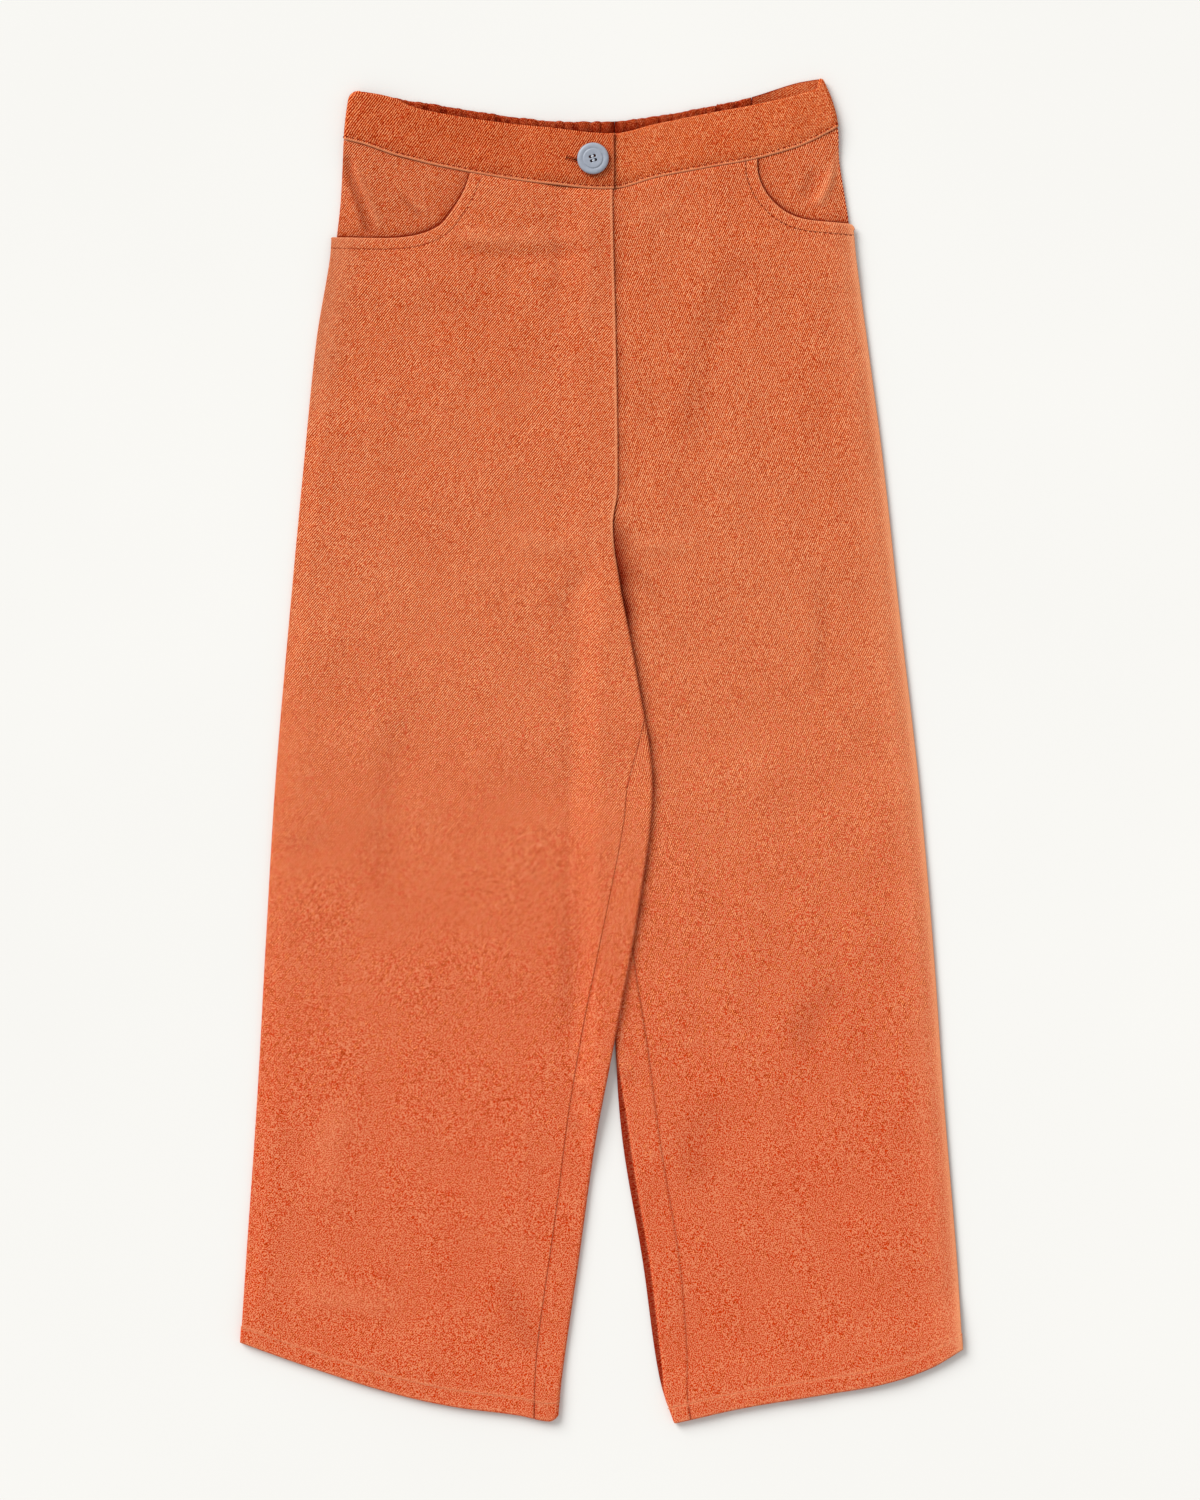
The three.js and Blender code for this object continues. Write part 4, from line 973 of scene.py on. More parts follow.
def elasticBand(leg, endX):
    draw = np.random.default_rng(elasticForm["seed"] + leg.outward)
    start = centreBackX + leg.outward * (join / 2 + bandHalf)
    end = endX - leg.outward * (join / 2 + bandHalf)
    x = np.linspace(start, end, int(abs(end - start)))[None, :]
    nominal = bandSteps[:, None] * bandForm["height"] / stepsHeight
    share = nominal / bandForm["height"]
    gathers = elasticForm["gathers"]
    creasesX = np.cumsum(draw.uniform(*elasticForm["spacing"], gathers))
    height = draw.uniform(0.2, 1.0, gathers + 1)
    lean = draw.uniform(-1, 1, gathers + 1) * elasticForm["lean"]
    bow = draw.uniform(-1, 1, gathers + 1) * 1.2
    isDeep = draw.uniform(0, 1, gathers + 1) < 0.5
    deep, faint = draw.uniform(0.7, 1.0, gathers + 1), draw.uniform(0.0, 0.3, gathers + 1)
    depth = np.where(isDeep, deep, faint)
    reach = np.abs(x - start)
    k = np.searchsorted(creasesX, reach)
    shifted = reach + lean[k] * (share - 0.5) + bow[k] * np.sin(2.2 * np.pi * share)
    k = np.searchsorted(creasesX, shifted)
    before = np.concatenate([[0], creasesX])[k]
    t = np.clip((shifted - before) / (creasesX[k] - before), 0, 1)
    pillow = height[k] * np.sin(np.pi * t) ** 0.7
    fade = smooth(reach, 0, 3) * smooth(np.abs(end - x), 0, 4)
    z = bandBackZ + elasticForm["gatherHeight"] * pillow * fade
    top = backTop(x) + elasticForm["bumpyTop"] * (pillow - 0.5) * fade * smooth(share, 0.8, 1)
    y = top - bandForm["height"] + nominal
    points = np.stack(np.broadcast_arrays(x, y, z), axis=-1)
    grain = np.stack(np.broadcast_arrays(elasticForm["stretch"] * x, y), axis=-1)
    aside = np.where(t < 0.5, t, 1 - t) * (creasesX[k] - before)
    belowTop = (1 - share) * bandForm["height"]
    valley = depth[np.where(t < 0.5, k, k + 1)] * bell(aside, 1.2) * fade * smooth(belowTop, 0.5, 4)
    atSeam = bell(reach, 1.6)
    behind = smooth(belowTop, 2, 9)
    shade = elasticForm["shade"] + elasticForm["valleyShade"] * valley
    shade = shade + elasticForm["seamShade"] * atSeam + elasticForm["behindShade"] * behind
    obj, _ = makeShell(
        f"waistband_back_{leg.name}_cloth", points, bandForm["thickness"], 1, grain,
        {"stitchLine": noStitches, "shade": shade, "wear": 0},
    )
    return obj


for leg in legs:
    pieces[f"waistband_back_{leg.name}"] = elasticBand(leg, bandForm["elasticEnds"][leg.name])
print("pocket facings and waistbands made")

buttonForm = {
    "base": 10.7,
    "profile": [  # radius, height
        (0, 0.2), (8.6, 0.2), (9.9, 0.3), (10.9, 0.7), (11.4, 1.3), (11.5, 1.9), (11.3, 2.5), (10.8, 2.95),
        (10, 3.2), (9, 3.25), (8.1, 3.1), (7.5, 2.85), (7.25, 2.85), (7.05, 3.1), (6.85, 3.35),
        (6.4, 3.4), (5.2, 3.3), (3.6, 3.15), (1.8, 3.05), (0, 3.02),
    ],
    "holeSpacing": 3.1,
    "holeRadius": 1.1,
    "turn": 16,  # degrees
    "threadRadius": 0.19,
    "strands": 2,
    "threadIn": 0.6,  # thread lies against the inner side of each hole
    "strandApart": 0.4,
    "threadTop": 2.9,  # of the bars' ends, above the base
    "threadBow": 0.55,
    "shankFrom": 7.1,
    "shankRadius": 0.7,
    "drillTo": 2.9,  # a hole's straight part, and its flared mouth above
    "drillTop": 3.6,
    "drillFlare": 0.5,
}


# A round tube along a path, with closed ends
def tube(path, radius, sides=10):
    path = np.array(path, float)
    ahead = unit(np.gradient(path, axis=0))
    across = unit(np.cross(ahead, np.array([0.31, 0.17, 0.93])))
    over = np.cross(across, ahead)
    turns = np.linspace(0, 2 * np.pi, sides, endpoint=False)
    rings = path[:, None] + radius * (
        np.cos(turns)[None, :, None] * across[:, None] + np.sin(turns)[None, :, None] * over[:, None]
    )
    vertices = np.concatenate([rings.reshape(-1, 3), path[:1], path[-1:]])
    count = len(path)
    faces = []
    for i in range(count - 1):
        for j in range(sides):
            k = (j + 1) % sides
            faces.append((i * sides + j, (i + 1) * sides + j, (i + 1) * sides + k, i * sides + k))
    for j in range(sides):
        k = (j + 1) % sides
        faces.append((count * sides, j, k))
        faces.append((count * sides + 1, (count - 1) * sides + k, (count - 1) * sides + j))
    return vertices, faces


# Several closed forms as one mesh
def joined(name, parts):
    vertices, faces, count = [], [], 0
    for partVertices, partFaces in parts:
        vertices.append(partVertices)
        faces += [tuple(int(i) + count for i in face) for face in partFaces]
        count += len(partVertices)
    return makeMesh(name, np.concatenate(vertices), faces)


def turnedProfile(profile, centre, base, sides=96):
    turns = np.linspace(0, 2 * np.pi, sides, endpoint=False)
    inner = profile[1:-1]
    vertices = [(centre[0], centre[1], base + profile[0][1]), (centre[0], centre[1], base + profile[-1][1])]
    for radius, height in inner:
        vertices += [(centre[0] + radius * np.cos(a), centre[1] + radius * np.sin(a), base + height)
                     for a in turns]
    faces = []
    for j in range(sides):
        k = (j + 1) % sides
        faces.append((0, 2 + k, 2 + j))
        last = 2 + (len(inner) - 1) * sides
        faces.append((1, last + j, last + k))
        for i in range(len(inner) - 1):
            a = 2 + i * sides
            faces.append((a + j, a + k, a + sides + k, a + sides + j))
    return np.array(vertices), faces


# The mesh of an object as its modifiers leave it, in place of the object
def settled(obj):
    bpy.context.view_layer.update()
    shown = obj.evaluated_get(bpy.context.evaluated_depsgraph_get())
    mesh = bpy.data.meshes.new_from_object(shown)
    obj.modifiers.clear()
    obj.data = mesh
    return obj


def cutWith(obj, cutter):
    modifier = obj.modifiers.new("cut", "BOOLEAN")
    modifier.operation = "DIFFERENCE"
    modifier.solver = "EXACT"
    modifier.object = cutter
    settled(obj)
    bpy.data.objects.remove(cutter)


bx, by = bandForm["button"]
spin = np.radians(buttonForm["turn"])
spinAxes = np.array([[np.cos(spin), np.sin(spin)], [-np.sin(spin), np.cos(spin)]])
offset = buttonForm["holeSpacing"] / 2
holes = {(sx, sy): np.array([bx, by]) + offset * (sx * spinAxes[0] + sy * spinAxes[1])
         for sx in (-1, 1) for sy in (-1, 1)}

button = joined("button_shell", [turnedProfile(buttonForm["profile"], (bx, by), buttonForm["base"])])
drill, drillTop = buttonForm["holeRadius"], buttonForm["drillTop"]
drillProfile = [(0, -1), (drill, -1), (drill, buttonForm["drillTo"]),
                (drill + buttonForm["drillFlare"], drillTop), (0, drillTop)]
drills = [turnedProfile(drillProfile, place, buttonForm["base"], 32) for place in holes.values()]
cutWith(button, joined("drills", drills))
pieces["button"] = button

# Thread: a shank from the band below, four posts, and bars between the left and right holes
base = buttonForm["base"]
shank = [(bx, by, z) for z in np.linspace(buttonForm["shankFrom"], base - 0.4, 8)]
threadParts = [tube(shank, buttonForm["shankRadius"])]
barShare = np.linspace(0.04, 0.96, 12)
for sy in (-1, 1):
    for strand in range(buttonForm["strands"]):
        aside = (strand - (buttonForm["strands"] - 1) / 2) * buttonForm["strandApart"] * spinAxes[1]
        inward = buttonForm["threadIn"] * spinAxes[0]
        left, right = holes[(-1, sy)] + aside + inward, holes[(1, sy)] + aside - inward
        share = np.concatenate([np.zeros(5), barShare, np.ones(5)])
        rise = base + buttonForm["threadTop"] + buttonForm["threadBow"] * np.sin(np.pi * barShare) ** 0.5
        down = np.linspace(base - 0.3, base + 2.7, 5)
        heights = np.concatenate([down, rise, down[::-1]])
        line = [(*mix(left, right, s), z) for s, z in zip(share, heights)]
        threadParts.append(tube(line, buttonForm["threadRadius"], 8))
pieces["button_thread"] = joined("button_thread_shell", threadParts)

# The buttonhole: a slot through the lapped end
holeAlong = np.linspace(0, 1, 40)
halfWidth = mix(*bandForm["holeWidths"], smooth(holeAlong, 0.2, 0.45)) / 2
holeSide = movedLine(holePath, 1) - holePath
openSide = holeSide * halfWidth[:, None]
outline = np.concatenate([holePath - openSide, (holePath + openSide)[::-1]])
ring = len(outline)
slotVertices = np.concatenate([
    np.column_stack([outline, np.full(ring, z)]) for z in bandForm["holeCut"]
])
slotFaces = [tuple(range(ring))[::-1], tuple(range(ring, 2 * ring))]
slotFaces += [(j, (j + 1) % ring, ring + (j + 1) % ring, ring + j) for j in range(ring)]
cutWith(pieces["waistband_front_right"], joined("slot", [(slotVertices, slotFaces)]))
print("button and buttonhole made")

stitchForm = {
    "pitch": 3.6,
    "length": 2.5,
    "radius": 0.35,
    "unevenness": 0.2,
    "sink": 0.06,
}


# A node of a tree, its settings first, then its inputs: each a value or the socket that feeds it
def addNode(tree, kind, inputs=None, **settings):
    node = tree.nodes.new(kind if kind.startswith(("Geometry", "Function")) else "ShaderNode" + kind)
    for name, value in settings.items():
        setattr(node, name, value)
    for socket, source in (inputs or {}).items():
        if isinstance(source, bpy.types.NodeSocket):
            tree.links.new(source, node.inputs[socket])
        else:
            node.inputs[socket].default_value = source
    return node


def calc(tree, operation, a, b=0.0, clamp=False):
    node = addNode(tree, "Math", {0: a, 1: b}, operation=operation, use_clamp=clamp)
    return node.outputs["Value"]


def newGroup(name, inputs, outputs, kind="ShaderNodeTree"):
    tree = bpy.data.node_groups.new(name, kind)
    for label, socketKind, value in inputs:
        socket = tree.interface.new_socket(label, in_out="INPUT", socket_type="NodeSocket" + socketKind)
        if value is not None:
            socket.default_value = value
    for label, socketKind in outputs:
        tree.interface.new_socket(label, in_out="OUTPUT", socket_type="NodeSocket" + socketKind)
    return tree, tree.nodes.new("NodeGroupInput").outputs, tree.nodes.new("NodeGroupOutput").inputs


# A row of stitches along a mesh line. Turn lays them across the line instead of along it
def stitchTree():
    tree, given, result = newGroup(
        "stitchRow",
        [("Line", "Geometry", None), ("Pitch", "Float", None), ("Length", "Float", None),
         ("Radius", "Float", None), ("Turn", "Float", None), ("Unevenness", "Float", None),
         ("Seed", "Int", None), ("Thread", "Material", None)],
        [("Stitches", "Geometry")], "GeometryNodeTree",
    )

    def add(kind, inputs, output, **settings):
        return addNode(tree, kind, inputs, **settings).outputs[output]

    def uneven(low, high):
        inputs = {"Min": low, "Max": high, "Seed": given["Seed"]}
        return add("FunctionNodeRandomValue", inputs, "Value", data_type="FLOAT")

    line = add("GeometryNodeMeshToCurve", {"Mesh": given["Line"]}, "Curve")
    inputs = {"Curve": line, "Length": given["Pitch"]}
    spaced = add("GeometryNodeResampleCurve", inputs, "Curve", mode="LENGTH")
    bead = add("GeometryNodeMeshUVSphere", {"Segments": 8, "Rings": 6, "Radius": 1}, "Mesh")
    tangent = add("GeometryNodeInputTangent", {}, "Tangent")
    inputs = {"Vector": tangent}
    alongLine = add("FunctionNodeAlignRotationToVector", inputs, "Rotation", axis="X", pivot_axis="Z")
    turn = calc(tree, "ADD", given["Turn"], uneven(-0.09, 0.09))
    euler = add("CombineXYZ", {"Z": turn}, "Vector")
    across = add("FunctionNodeEulerToRotation", {"Euler": euler}, "Rotation")
    inputs = {"Rotation": alongLine, "Rotate By": across}
    turned = add("FunctionNodeRotateRotation", inputs, "Rotation", rotation_space="LOCAL")
    half = calc(tree, "MULTIPLY", given["Length"], 0.5)
    size = add("CombineXYZ", {"X": half, "Y": given["Radius"], "Z": given["Radius"]}, "Vector")
    share = uneven(calc(tree, "SUBTRACT", 1.0, given["Unevenness"]), 1)
    sized = add("VectorMath", {0: size, "Scale": share}, "Vector", operation="SCALE")
    placed = add("GeometryNodeInstanceOnPoints", {
        "Points": spaced, "Instance": bead, "Rotation": turned, "Scale": sized,
    }, "Instances")
    real = add("GeometryNodeRealizeInstances", {"Geometry": placed}, "Geometry")
    soft = add("GeometryNodeSetShadeSmooth", {"Geometry": real}, "Geometry")
    dressed = add("GeometryNodeSetMaterial", {"Geometry": soft, "Material": given["Thread"]}, "Geometry")
    tree.links.new(dressed, result["Stitches"])
    return tree


stitchRow = stitchTree()


def stitchObject(name, lines, thread, pitch=None, length=None, radius=None, turn=0.0, seed=1):
    edges, count = [], 0
    for line in lines:
        edges += [(count + i, count + i + 1) for i in range(len(line) - 1)]
        count += len(line)
    obj = makeMesh(name, np.concatenate(lines), [], edges)
    modifier = obj.modifiers.new("stitches", "NODES")
    modifier.node_group = stitchRow
    sockets = {s.name: s.identifier for s in stitchRow.interface.items_tree if s.in_out == "INPUT"}
    given = {
        "Pitch": float((pitch or stitchForm["pitch"]) * mm),
        "Length": float((length or stitchForm["length"]) * mm),
        "Radius": float((radius or stitchForm["radius"]) * mm),
        "Turn": float(turn),
        "Unevenness": stitchForm["unevenness"],
        "Seed": seed,
        "Thread": thread,
    }
    for label, value in given.items():
        modifier[sockets[label]] = value
    return settled(obj)


# A flat line laid on the front of a leg
def onFront(leg, line):
    x, y = line[:, 0], line[:, 1]
    z = frontZ(leg, x, y) + frontRelief(leg, x, y) + wall(leg, x, y) / 2 - stitchForm["sink"]
    return np.column_stack([x, y, z])


def rescaled(tree, value, fromLow, fromHigh, toLow, toHigh):
    node = addNode(tree, "MapRange", {1: fromLow, 2: fromHigh, 3: toLow, 4: toHigh, "Value": value})
    return node.outputs["Result"]


def overlay(tree, share, under, over, blend="MIX"):
    node = addNode(tree, "Mix", {0: share, 6: under, 7: over}, data_type="RGBA", blend_type=blend)
    return node.outputs[2]


def total(tree, *values):
    result = values[0]
    for value in values[1:]:
        result = calc(tree, "ADD", result, value)
    return result


twillLook = {
    "pitch": 1.39,  # from one diagonal rib to the next
    "turn": 58.3,  # degrees
    "tones": {
        "Fleck": (1.0, 0.49, 0.25),  # the brightest threads
        "Light": (0.92, 0.25, 0.08),
        "Dark": (0.47, 0.045, 0.004),
        "Deep": (0.27, 0.008, 0.0),  # the bottom of the grooves: painted shade in them
        "Nap": (0.70, 0.235, 0.112),  # flecks of nap, which take over down the leg
        "Nap Dark": (0.56, 0.03, 0.0),  # the cloth between them
    },
    # the paler colour of wear and of painted highlights and sheen
    "wear": (0.82, 0.33, 0.16),
    "shade": (0.35, 0.16, 0.14),  # what full shade leaves of a colour
    "fadeFrom": 0.12,  # ribs fainter and nap rougher down the leg, between these heights
    "fadeTo": -0.3,
    "wearAndLightShare": 0.8,  # most that wear and painted light change a colour
    "dentShade": 0.06,  # along a row of stitches
    "ribHeight": 0.07,  # of the ribs, to a stitch line's dent
    "bump": 0.0004,  # metres
}


# Ribs, flecks of nap and soft patches of a brushed twill
def twillGroup():
    tree, given, result = newGroup(
        "brushedTwill",
        [("Grain", "Vector", None), ("Place", "Vector", None), ("Rib Contrast", "Float", 1.0),
         ("Patches", "Float", 1.0)] + [(tone, "Color", (1, 1, 1, 1)) for tone in twillLook["tones"]],
        [("Color", "Color"), ("Height", "Float")],
    )

    def noise(vector, scale, detail=1.0):
        node = addNode(tree, "TexNoise", {"Vector": vector, "Scale": scale, "Detail": detail})
        return node.outputs["Fac"]

    def stretched(vector, along, across):
        return addNode(tree, "Mapping", {"Vector": vector, "Scale": (along, across, 1)}).outputs["Vector"]

    pitch = twillLook["pitch"] * mm
    ribs = addNode(tree, "Mapping", {
        "Vector": given["Grain"],
        "Rotation": (0, 0, -np.radians(twillLook["turn"])),
        "Scale": (1 / pitch, 1 / pitch, 1),
    }).outputs["Vector"]
    drift = noise(ribs, 0.06, 2.0)
    yarn = noise(stretched(ribs, 0.4, 1.1), 1.0, 1.0)
    fine = noise(stretched(ribs, 1.3, 1.9), 1.0, 1.0)
    speck = noise(given["Place"], 1250.0, 0.0)
    nap = noise(stretched(ribs, 0.3, 0.4), 1.0, 1.0)
    acrossRibs = addNode(tree, "SeparateXYZ", {"Vector": ribs}).outputs["Y"]
    phase = total(tree, acrossRibs, calc(tree, "MULTIPLY", drift, 1.6), calc(tree, "MULTIPLY", yarn, 0.35))
    wave = calc(tree, "SINE", calc(tree, "MULTIPLY", phase, 2 * np.pi))
    height = addNode(tree, "SeparateXYZ", {"Vector": given["Place"]}).outputs["Y"]
    faded = rescaled(tree, height, twillLook["fadeTo"], twillLook["fadeFrom"], 0.3, 1.0)
    gain = calc(tree, "MULTIPLY", calc(tree, "MULTIPLY", faded, given["Rib Contrast"]),
                rescaled(tree, yarn, 0.3, 0.7, 0.75, 1.35))
    fleckTone = rescaled(tree, fine, 0.3, 0.7, -0.6, 0.6)
    speckTone = rescaled(tree, speck, 0.25, 0.75, -0.7, 0.7)
    patch = noise(given["Place"], 15.0, 3.0)
    patchTone = calc(tree, "MULTIPLY", rescaled(tree, patch, 0.3, 0.7, -0.07, 0.07), given["Patches"])
    flecks = calc(tree, "ADD", fleckTone, speckTone)
    tone = total(tree, calc(tree, "MULTIPLY", wave, gain), flecks, patchTone, 0.13)
    colour = overlay(tree, rescaled(tree, tone, 0.0, 1.0, 0.0, 1.0), given["Dark"], given["Light"])
    colour = overlay(tree, rescaled(tree, tone, 0.9, 1.7, 0.0, 1.0), colour, given["Fleck"])
    colour = overlay(tree, rescaled(tree, tone, 0.0, -0.9, 0.0, 1.0), colour, given["Deep"])
    napTone = calc(tree, "ADD", calc(tree, "MULTIPLY", flecks, 1.7), calc(tree, "MULTIPLY", wave, 0.25))
    napTone = calc(tree, "ADD", calc(tree, "ADD", napTone, patchTone), 0.5, clamp=True)
    napped = overlay(tree, napTone, given["Nap Dark"], given["Nap"])
    napGain = rescaled(tree, faded, 0.3, 1.0, 1.3, -0.4)
    napShare = calc(tree, "ADD", napGain, rescaled(tree, nap, 0.35, 0.65, -0.9, 0.9), clamp=True)
    tree.links.new(overlay(tree, napShare, colour, napped), result["Color"])
    tree.links.new(calc(tree, "ADD", calc(tree, "MULTIPLY", wave, faded), fine), result["Height"])
    return tree


# Wear and painted highlights on the ridges and edges of a colour, painted shade in its troughs, and a
# soft dent along a line of stitches, from the distance to it
def markGroup():
    tree, given, result = newGroup(
        "clothMarks",
        [(label, "Color", (1, 1, 1, 1)) for label in ("Color", "Worn", "Shaded")]
        + [("Wear", "Float", 0.0), ("Shade", "Float", 0.0), ("Line", "Float", 1.0),
           ("Dent Width", "Float", 0.0005)],
        [("Color", "Color"), ("Dent", "Float")],
    )
    share = calc(tree, "DIVIDE", given["Line"], given["Dent Width"])
    dent = calc(tree, "EXPONENT", calc(tree, "MULTIPLY", calc(tree, "MULTIPLY", share, share), -1.0))
    wear = calc(tree, "MULTIPLY", given["Wear"], twillLook["wearAndLightShare"], clamp=True)
    dentShade = calc(tree, "MULTIPLY", dent, twillLook["dentShade"])
    shade = calc(tree, "ADD", dentShade, given["Shade"], clamp=True)
    worn = overlay(tree, wear, given["Color"], given["Worn"])
    tree.links.new(overlay(tree, shade, worn, given["Shaded"], "MULTIPLY"), result["Color"])
    tree.links.new(dent, result["Dent"])
    return tree


twill, clothMarks = twillGroup(), markGroup()


def newMaterial(name, roughness, specular=0.5):
    material = bpy.data.materials.new(name)
    material.use_nodes = True
    shader = material.node_tree.nodes["Principled BSDF"]
    shader.inputs["Roughness"].default_value = roughness
    shader.inputs["Specular IOR Level"].default_value = specular
    shader.inputs["Sheen Weight"].default_value = 0
    return material, material.node_tree, shader.inputs


def twillMaterial(name, tint=(1, 1, 1), ribContrast=1.0):
    material, tree, shader = newMaterial(name, 0.9, 0.0)
    grain = addNode(tree, "UVMap", uv_map="grain").outputs["UV"]
    place = addNode(tree, "TexCoord").outputs["Object"]
    tones = {tone: (*np.multiply(tint, colour), 1) for tone, colour in twillLook["tones"].items()}
    given = {"Grain": grain, "Place": place, "Rib Contrast": ribContrast, **tones}
    woven = addNode(tree, "Group", given, node_tree=twill).outputs
    wear, shade, line = (addNode(tree, "Attribute", attribute_name=name).outputs["Fac"]
                         for name in ("wear", "shade", "stitchLine"))
    marked = addNode(tree, "Group", {
        "Color": woven["Color"], "Worn": (*twillLook["wear"], 1), "Shaded": (*twillLook["shade"], 1),
        "Wear": wear, "Shade": shade, "Line": line,
    }, node_tree=clothMarks).outputs
    tree.links.new(marked["Color"], shader["Base Color"])
    ribs = calc(tree, "MULTIPLY", woven["Height"], twillLook["ribHeight"])
    height = calc(tree, "SUBTRACT", ribs, marked["Dent"])
    bump = addNode(tree, "Bump", {"Height": height, "Strength": 1.0, "Distance": twillLook["bump"]})
    tree.links.new(bump.outputs["Normal"], shader["Normal"])
    return material


def grainyMaterial(name, low, high, scale, roughness, specular=0.5, bumpHeight=0.0):
    material, tree, shader = newMaterial(name, roughness, specular)
    place = addNode(tree, "TexCoord").outputs["Object"]
    noise = addNode(tree, "TexNoise", {"Vector": place, "Scale": scale, "Detail": 3.0}).outputs["Fac"]
    share = rescaled(tree, noise, 0.3, 0.7, 0.0, 1.0)
    tree.links.new(overlay(tree, share, (*low, 1), (*high, 1)), shader["Base Color"])
    if bumpHeight:
        bump = addNode(tree, "Bump", {"Height": noise, "Strength": 1.0, "Distance": bumpHeight})
        tree.links.new(bump.outputs["Normal"], shader["Normal"])
    return material


panelTwill = twillMaterial("panelTwill", ribContrast=1.2)
bandTwill = twillMaterial("bandTwill", tint=(0.86, 0.73, 0.63), ribContrast=1.15)
# The left band's twill is a paler copy of the right band's: painted light, where the light falls brighter
# on it
bandTwillLeft = twillMaterial("bandTwillLeft", tint=(0.98, 0.93, 0.84), ribContrast=1.1)
# A darker, greyer copy of the twill for the inside of the back band: painted shade, besides its shade marks
elasticTwill = twillMaterial("elasticTwill", tint=(0.84, 0.72, 0.72), ribContrast=0.5)
# Darker colour, paler colour, grains to the metre, roughness, specular level and height of bumps
seamThread = grainyMaterial("seamThread", (0.11, 0.007, 0.003), (0.24, 0.02, 0.007), 900, 0.9, 0.0)
# A paler copy of the seam thread for the right pocket's stitching: painted light on the same thread
clothThread = grainyMaterial("clothThread", (0.28, 0.03, 0.01), (0.46, 0.07, 0.025), 900, 0.9, 0.0)
hemThread = grainyMaterial("hemThread", (0.5, 0.1, 0.04), (0.78, 0.26, 0.12), 900, 0.9, 0.0)
buttonThread = grainyMaterial("buttonThread", (0.55, 0.6, 0.68), (0.85, 0.88, 0.92), 1500, 0.7, 0.3)
buttonPlastic = grainyMaterial(
    "buttonPlastic", (0.27, 0.3, 0.36), (0.33, 0.36, 0.42), 380, 0.42, 0.5, 0.00003
)
floorPaint = grainyMaterial("paleFloor", (0.825, 0.817, 0.787), (0.84, 0.832, 0.801), 3, 0.9, 0.2)
print("materials made")

for node, piece in pieces.items():
    look = panelTwill
    if node.startswith("waistband_back"):
        look = elasticTwill
    elif node.startswith("waistband"):
        look = bandTwill if node.endswith("right") else bandTwillLeft
    elif node == "button":
        look = buttonPlastic
    elif node == "button_thread":
        look = buttonThread
    piece.data.materials.clear()
    piece.data.materials.append(look)

stitches = {}
for leg in legs:
    pocketLine = onFront(leg, movedLine(leg.mouth, -leg.outward * legForm["pocketStitchIn"])[1:-2])
    for side, seed in (("front", 3), ("back", 4)):
        node = f"{side}_{leg.name}"
        lines = [hemLines[node]]
        if node == "front_right":
            lines.append(onFront(leg, smoothPath(legForm["flyStitch"], 90)))
        stitches[node] = stitchObject(f"{node}_stitches", lines, hemThread, seed=seed)
    # The right pocket takes the paler copy of the seam thread, as painted light
    thread = clothThread if leg is rightLeg else seamThread
    stitches[f"pocket_{leg.name}"] = stitchObject(
        f"pocket_{leg.name}_stitches", [pocketLine], thread, radius=0.38, seed=7)
    band = f"waistband_front_{leg.name}"
    stitches[band] = stitchObject(f"{band}_stitches", [bandLines[band][2:-2]], seamThread, pitch=4.2,
                                  length=2.5, radius=0.54, seed=5)

# Satin stitches round the buttonhole
aside = bandForm["holeStitches"] * holeSide
around = np.concatenate([holePath + aside, (holePath - aside)[::-1], (holePath + aside)[:1]])
holeTop = bandForm["frontZ"] + bandForm["lapRise"] + bandRelief(*around.T) + bandHalf
around = np.column_stack([around, holeTop - stitchForm["sink"]])
stitches["buttonhole"] = stitchObject("buttonhole_stitches", [around], seamThread, pitch=0.8, length=1.7,
                                      radius=0.3, turn=np.pi / 2, seed=6)
print("stitches made")

studio = {
    "skyStrength": 0.6,
    "sunStrength": 3.0,
    "sunAngle": 38,  # degrees across: the softness of the shadows
    "sunHeight": 34,  # degrees above the floor
    "sunFrom": 134,  # degrees anticlockwise from +X
    "cameraHeight": 3.6,
    "fieldHeight": 1.095,  # metres of floor that the view takes in, from top to bottom
    "centre": (-0.0007, 0.0004),
    "sensor": 36,
    "floorReach": 6000,
    "floorDepth": -0.4,
}

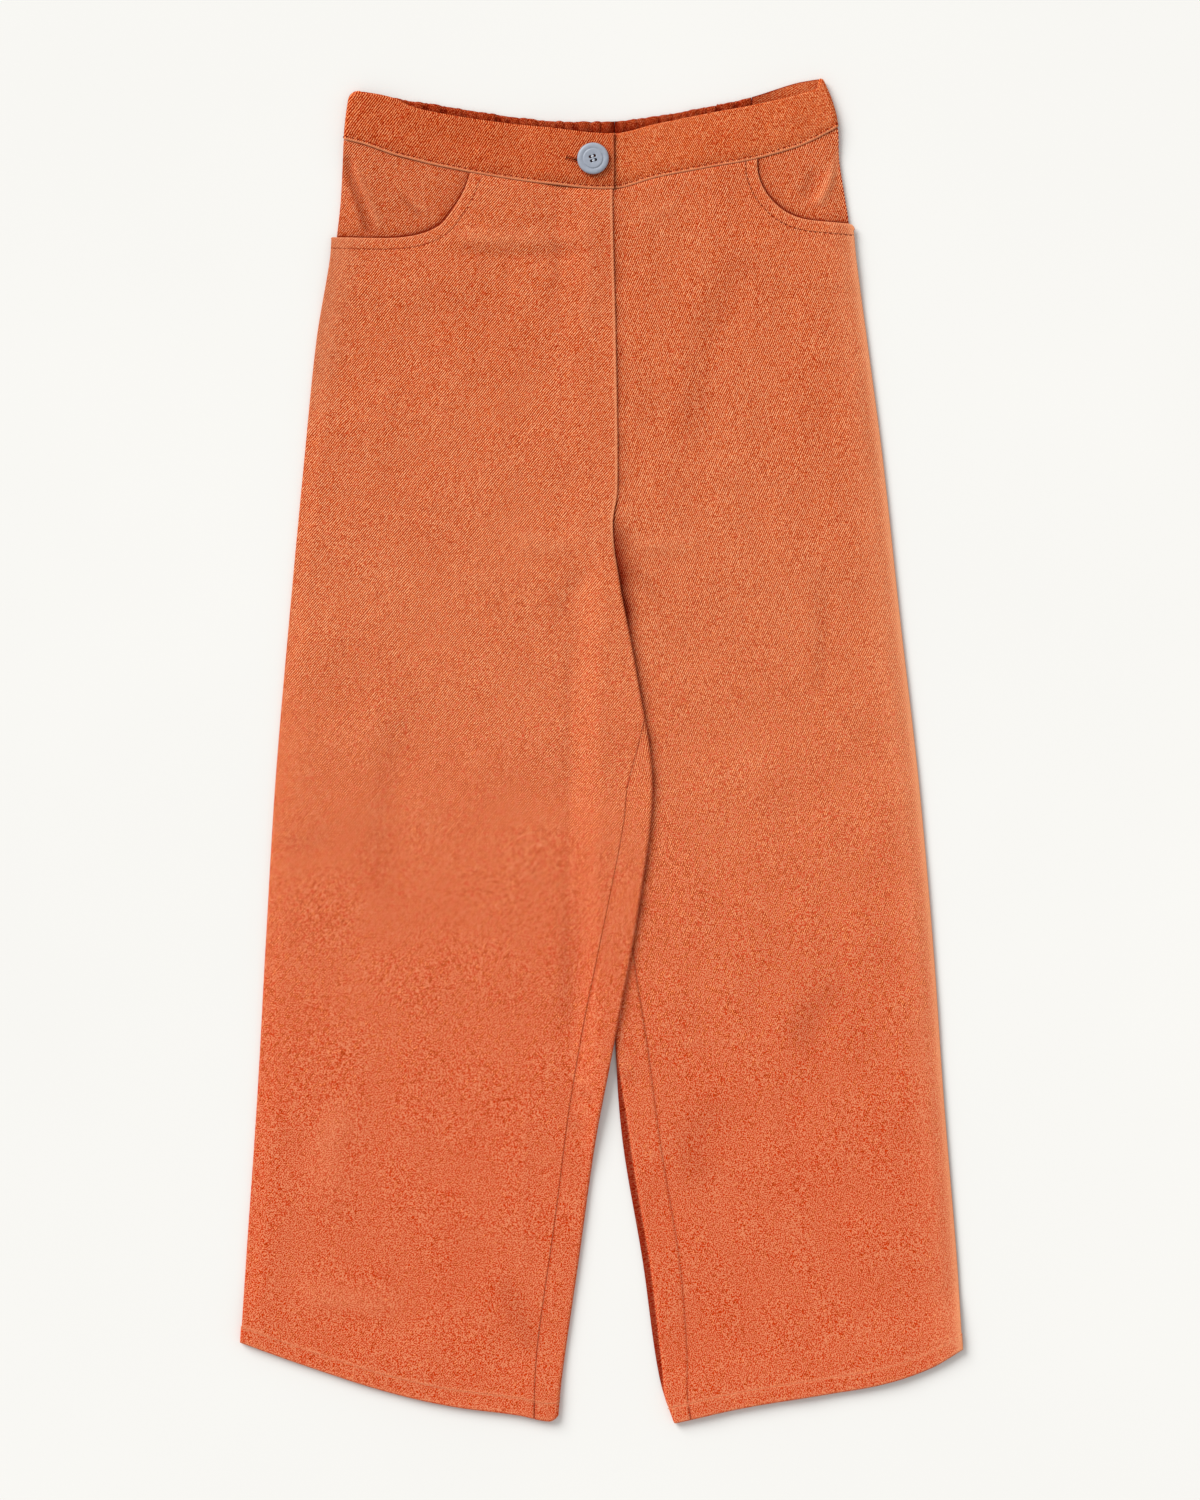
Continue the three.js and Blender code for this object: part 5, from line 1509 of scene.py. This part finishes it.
reach, depth = studio["floorReach"], studio["floorDepth"]
corners = [(x, y, depth) for x, y in ((-reach, -reach), (reach, -reach), (reach, reach), (-reach, reach))]
floor = makeMesh("floor", corners, [(0, 1, 2, 3)])
floor.data.materials.append(floorPaint)

scene.view_settings.view_transform = "Standard"
world = bpy.data.worlds.new("studio")
scene.world = world
world.use_nodes = True
sky = world.node_tree.nodes["Background"].inputs
sky["Color"].default_value = (1, 1, 1, 1)
sky["Strength"].default_value = studio["skyStrength"]

sunData = bpy.data.lights.new("key", "SUN")
sunData.energy = studio["sunStrength"]
sunData.angle = np.radians(studio["sunAngle"])
sun = inScene("key", sunData)
sun.rotation_euler = (0, np.radians(90 - studio["sunHeight"]), np.radians(studio["sunFrom"]))

scene.camera = inScene("camera", bpy.data.cameras.new("camera"))
scene.camera.location = (*studio["centre"], studio["cameraHeight"])
scene.camera.data.sensor_width = studio["sensor"]
scene.camera.data.lens = studio["sensor"] * studio["cameraHeight"] / studio["fieldHeight"]
print("floor, light and camera set")

for node, piece in pieces.items():
    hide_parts(node)
    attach(piece, "root")
for name, piece in stitches.items():
    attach(piece, "root")
print("pieces and stitches on the frame")

# Cut of each piece of cloth as seen: width, length and area in metres, and what it rests on
cuts = {
    "back_right": (0.33, 0.937, 0.232, ["floor"]),
    "back_left": (0.286, 0.948, 0.204, ["floor"]),
    "front_right": (0.296, 0.91, 0.2045, ["back_right"]),
    "front_left": (0.265, 0.92, 0.184, ["back_left"]),
    "hip_facing_right": (0.116, 0.089, 0.0071, ["back_right"]),
    "hip_facing_left": (0.086, 0.088, 0.0048, ["back_left"]),
    "waistband_front_right": (0.232, 0.0405, 0.0089, ["waistband_back_right"]),
    "waistband_front_left": (0.26, 0.0405, 0.0097, ["waistband_back_left"]),
    "waistband_back_right": (0.205, 0.036, 0.0073, ["floor"]),
    "waistband_back_left": (0.125, 0.036, 0.0045, ["floor"]),
}
for node, (width, length, area, under) in cuts.items():
    own = [stitches[node]] if node in stitches else []
    if node == "waistband_front_right":
        own.append(stitches["buttonhole"])
    elif node.startswith("front"):
        own.append(stitches[node.replace("front", "pocket")])
print("sheets:", len(cuts))
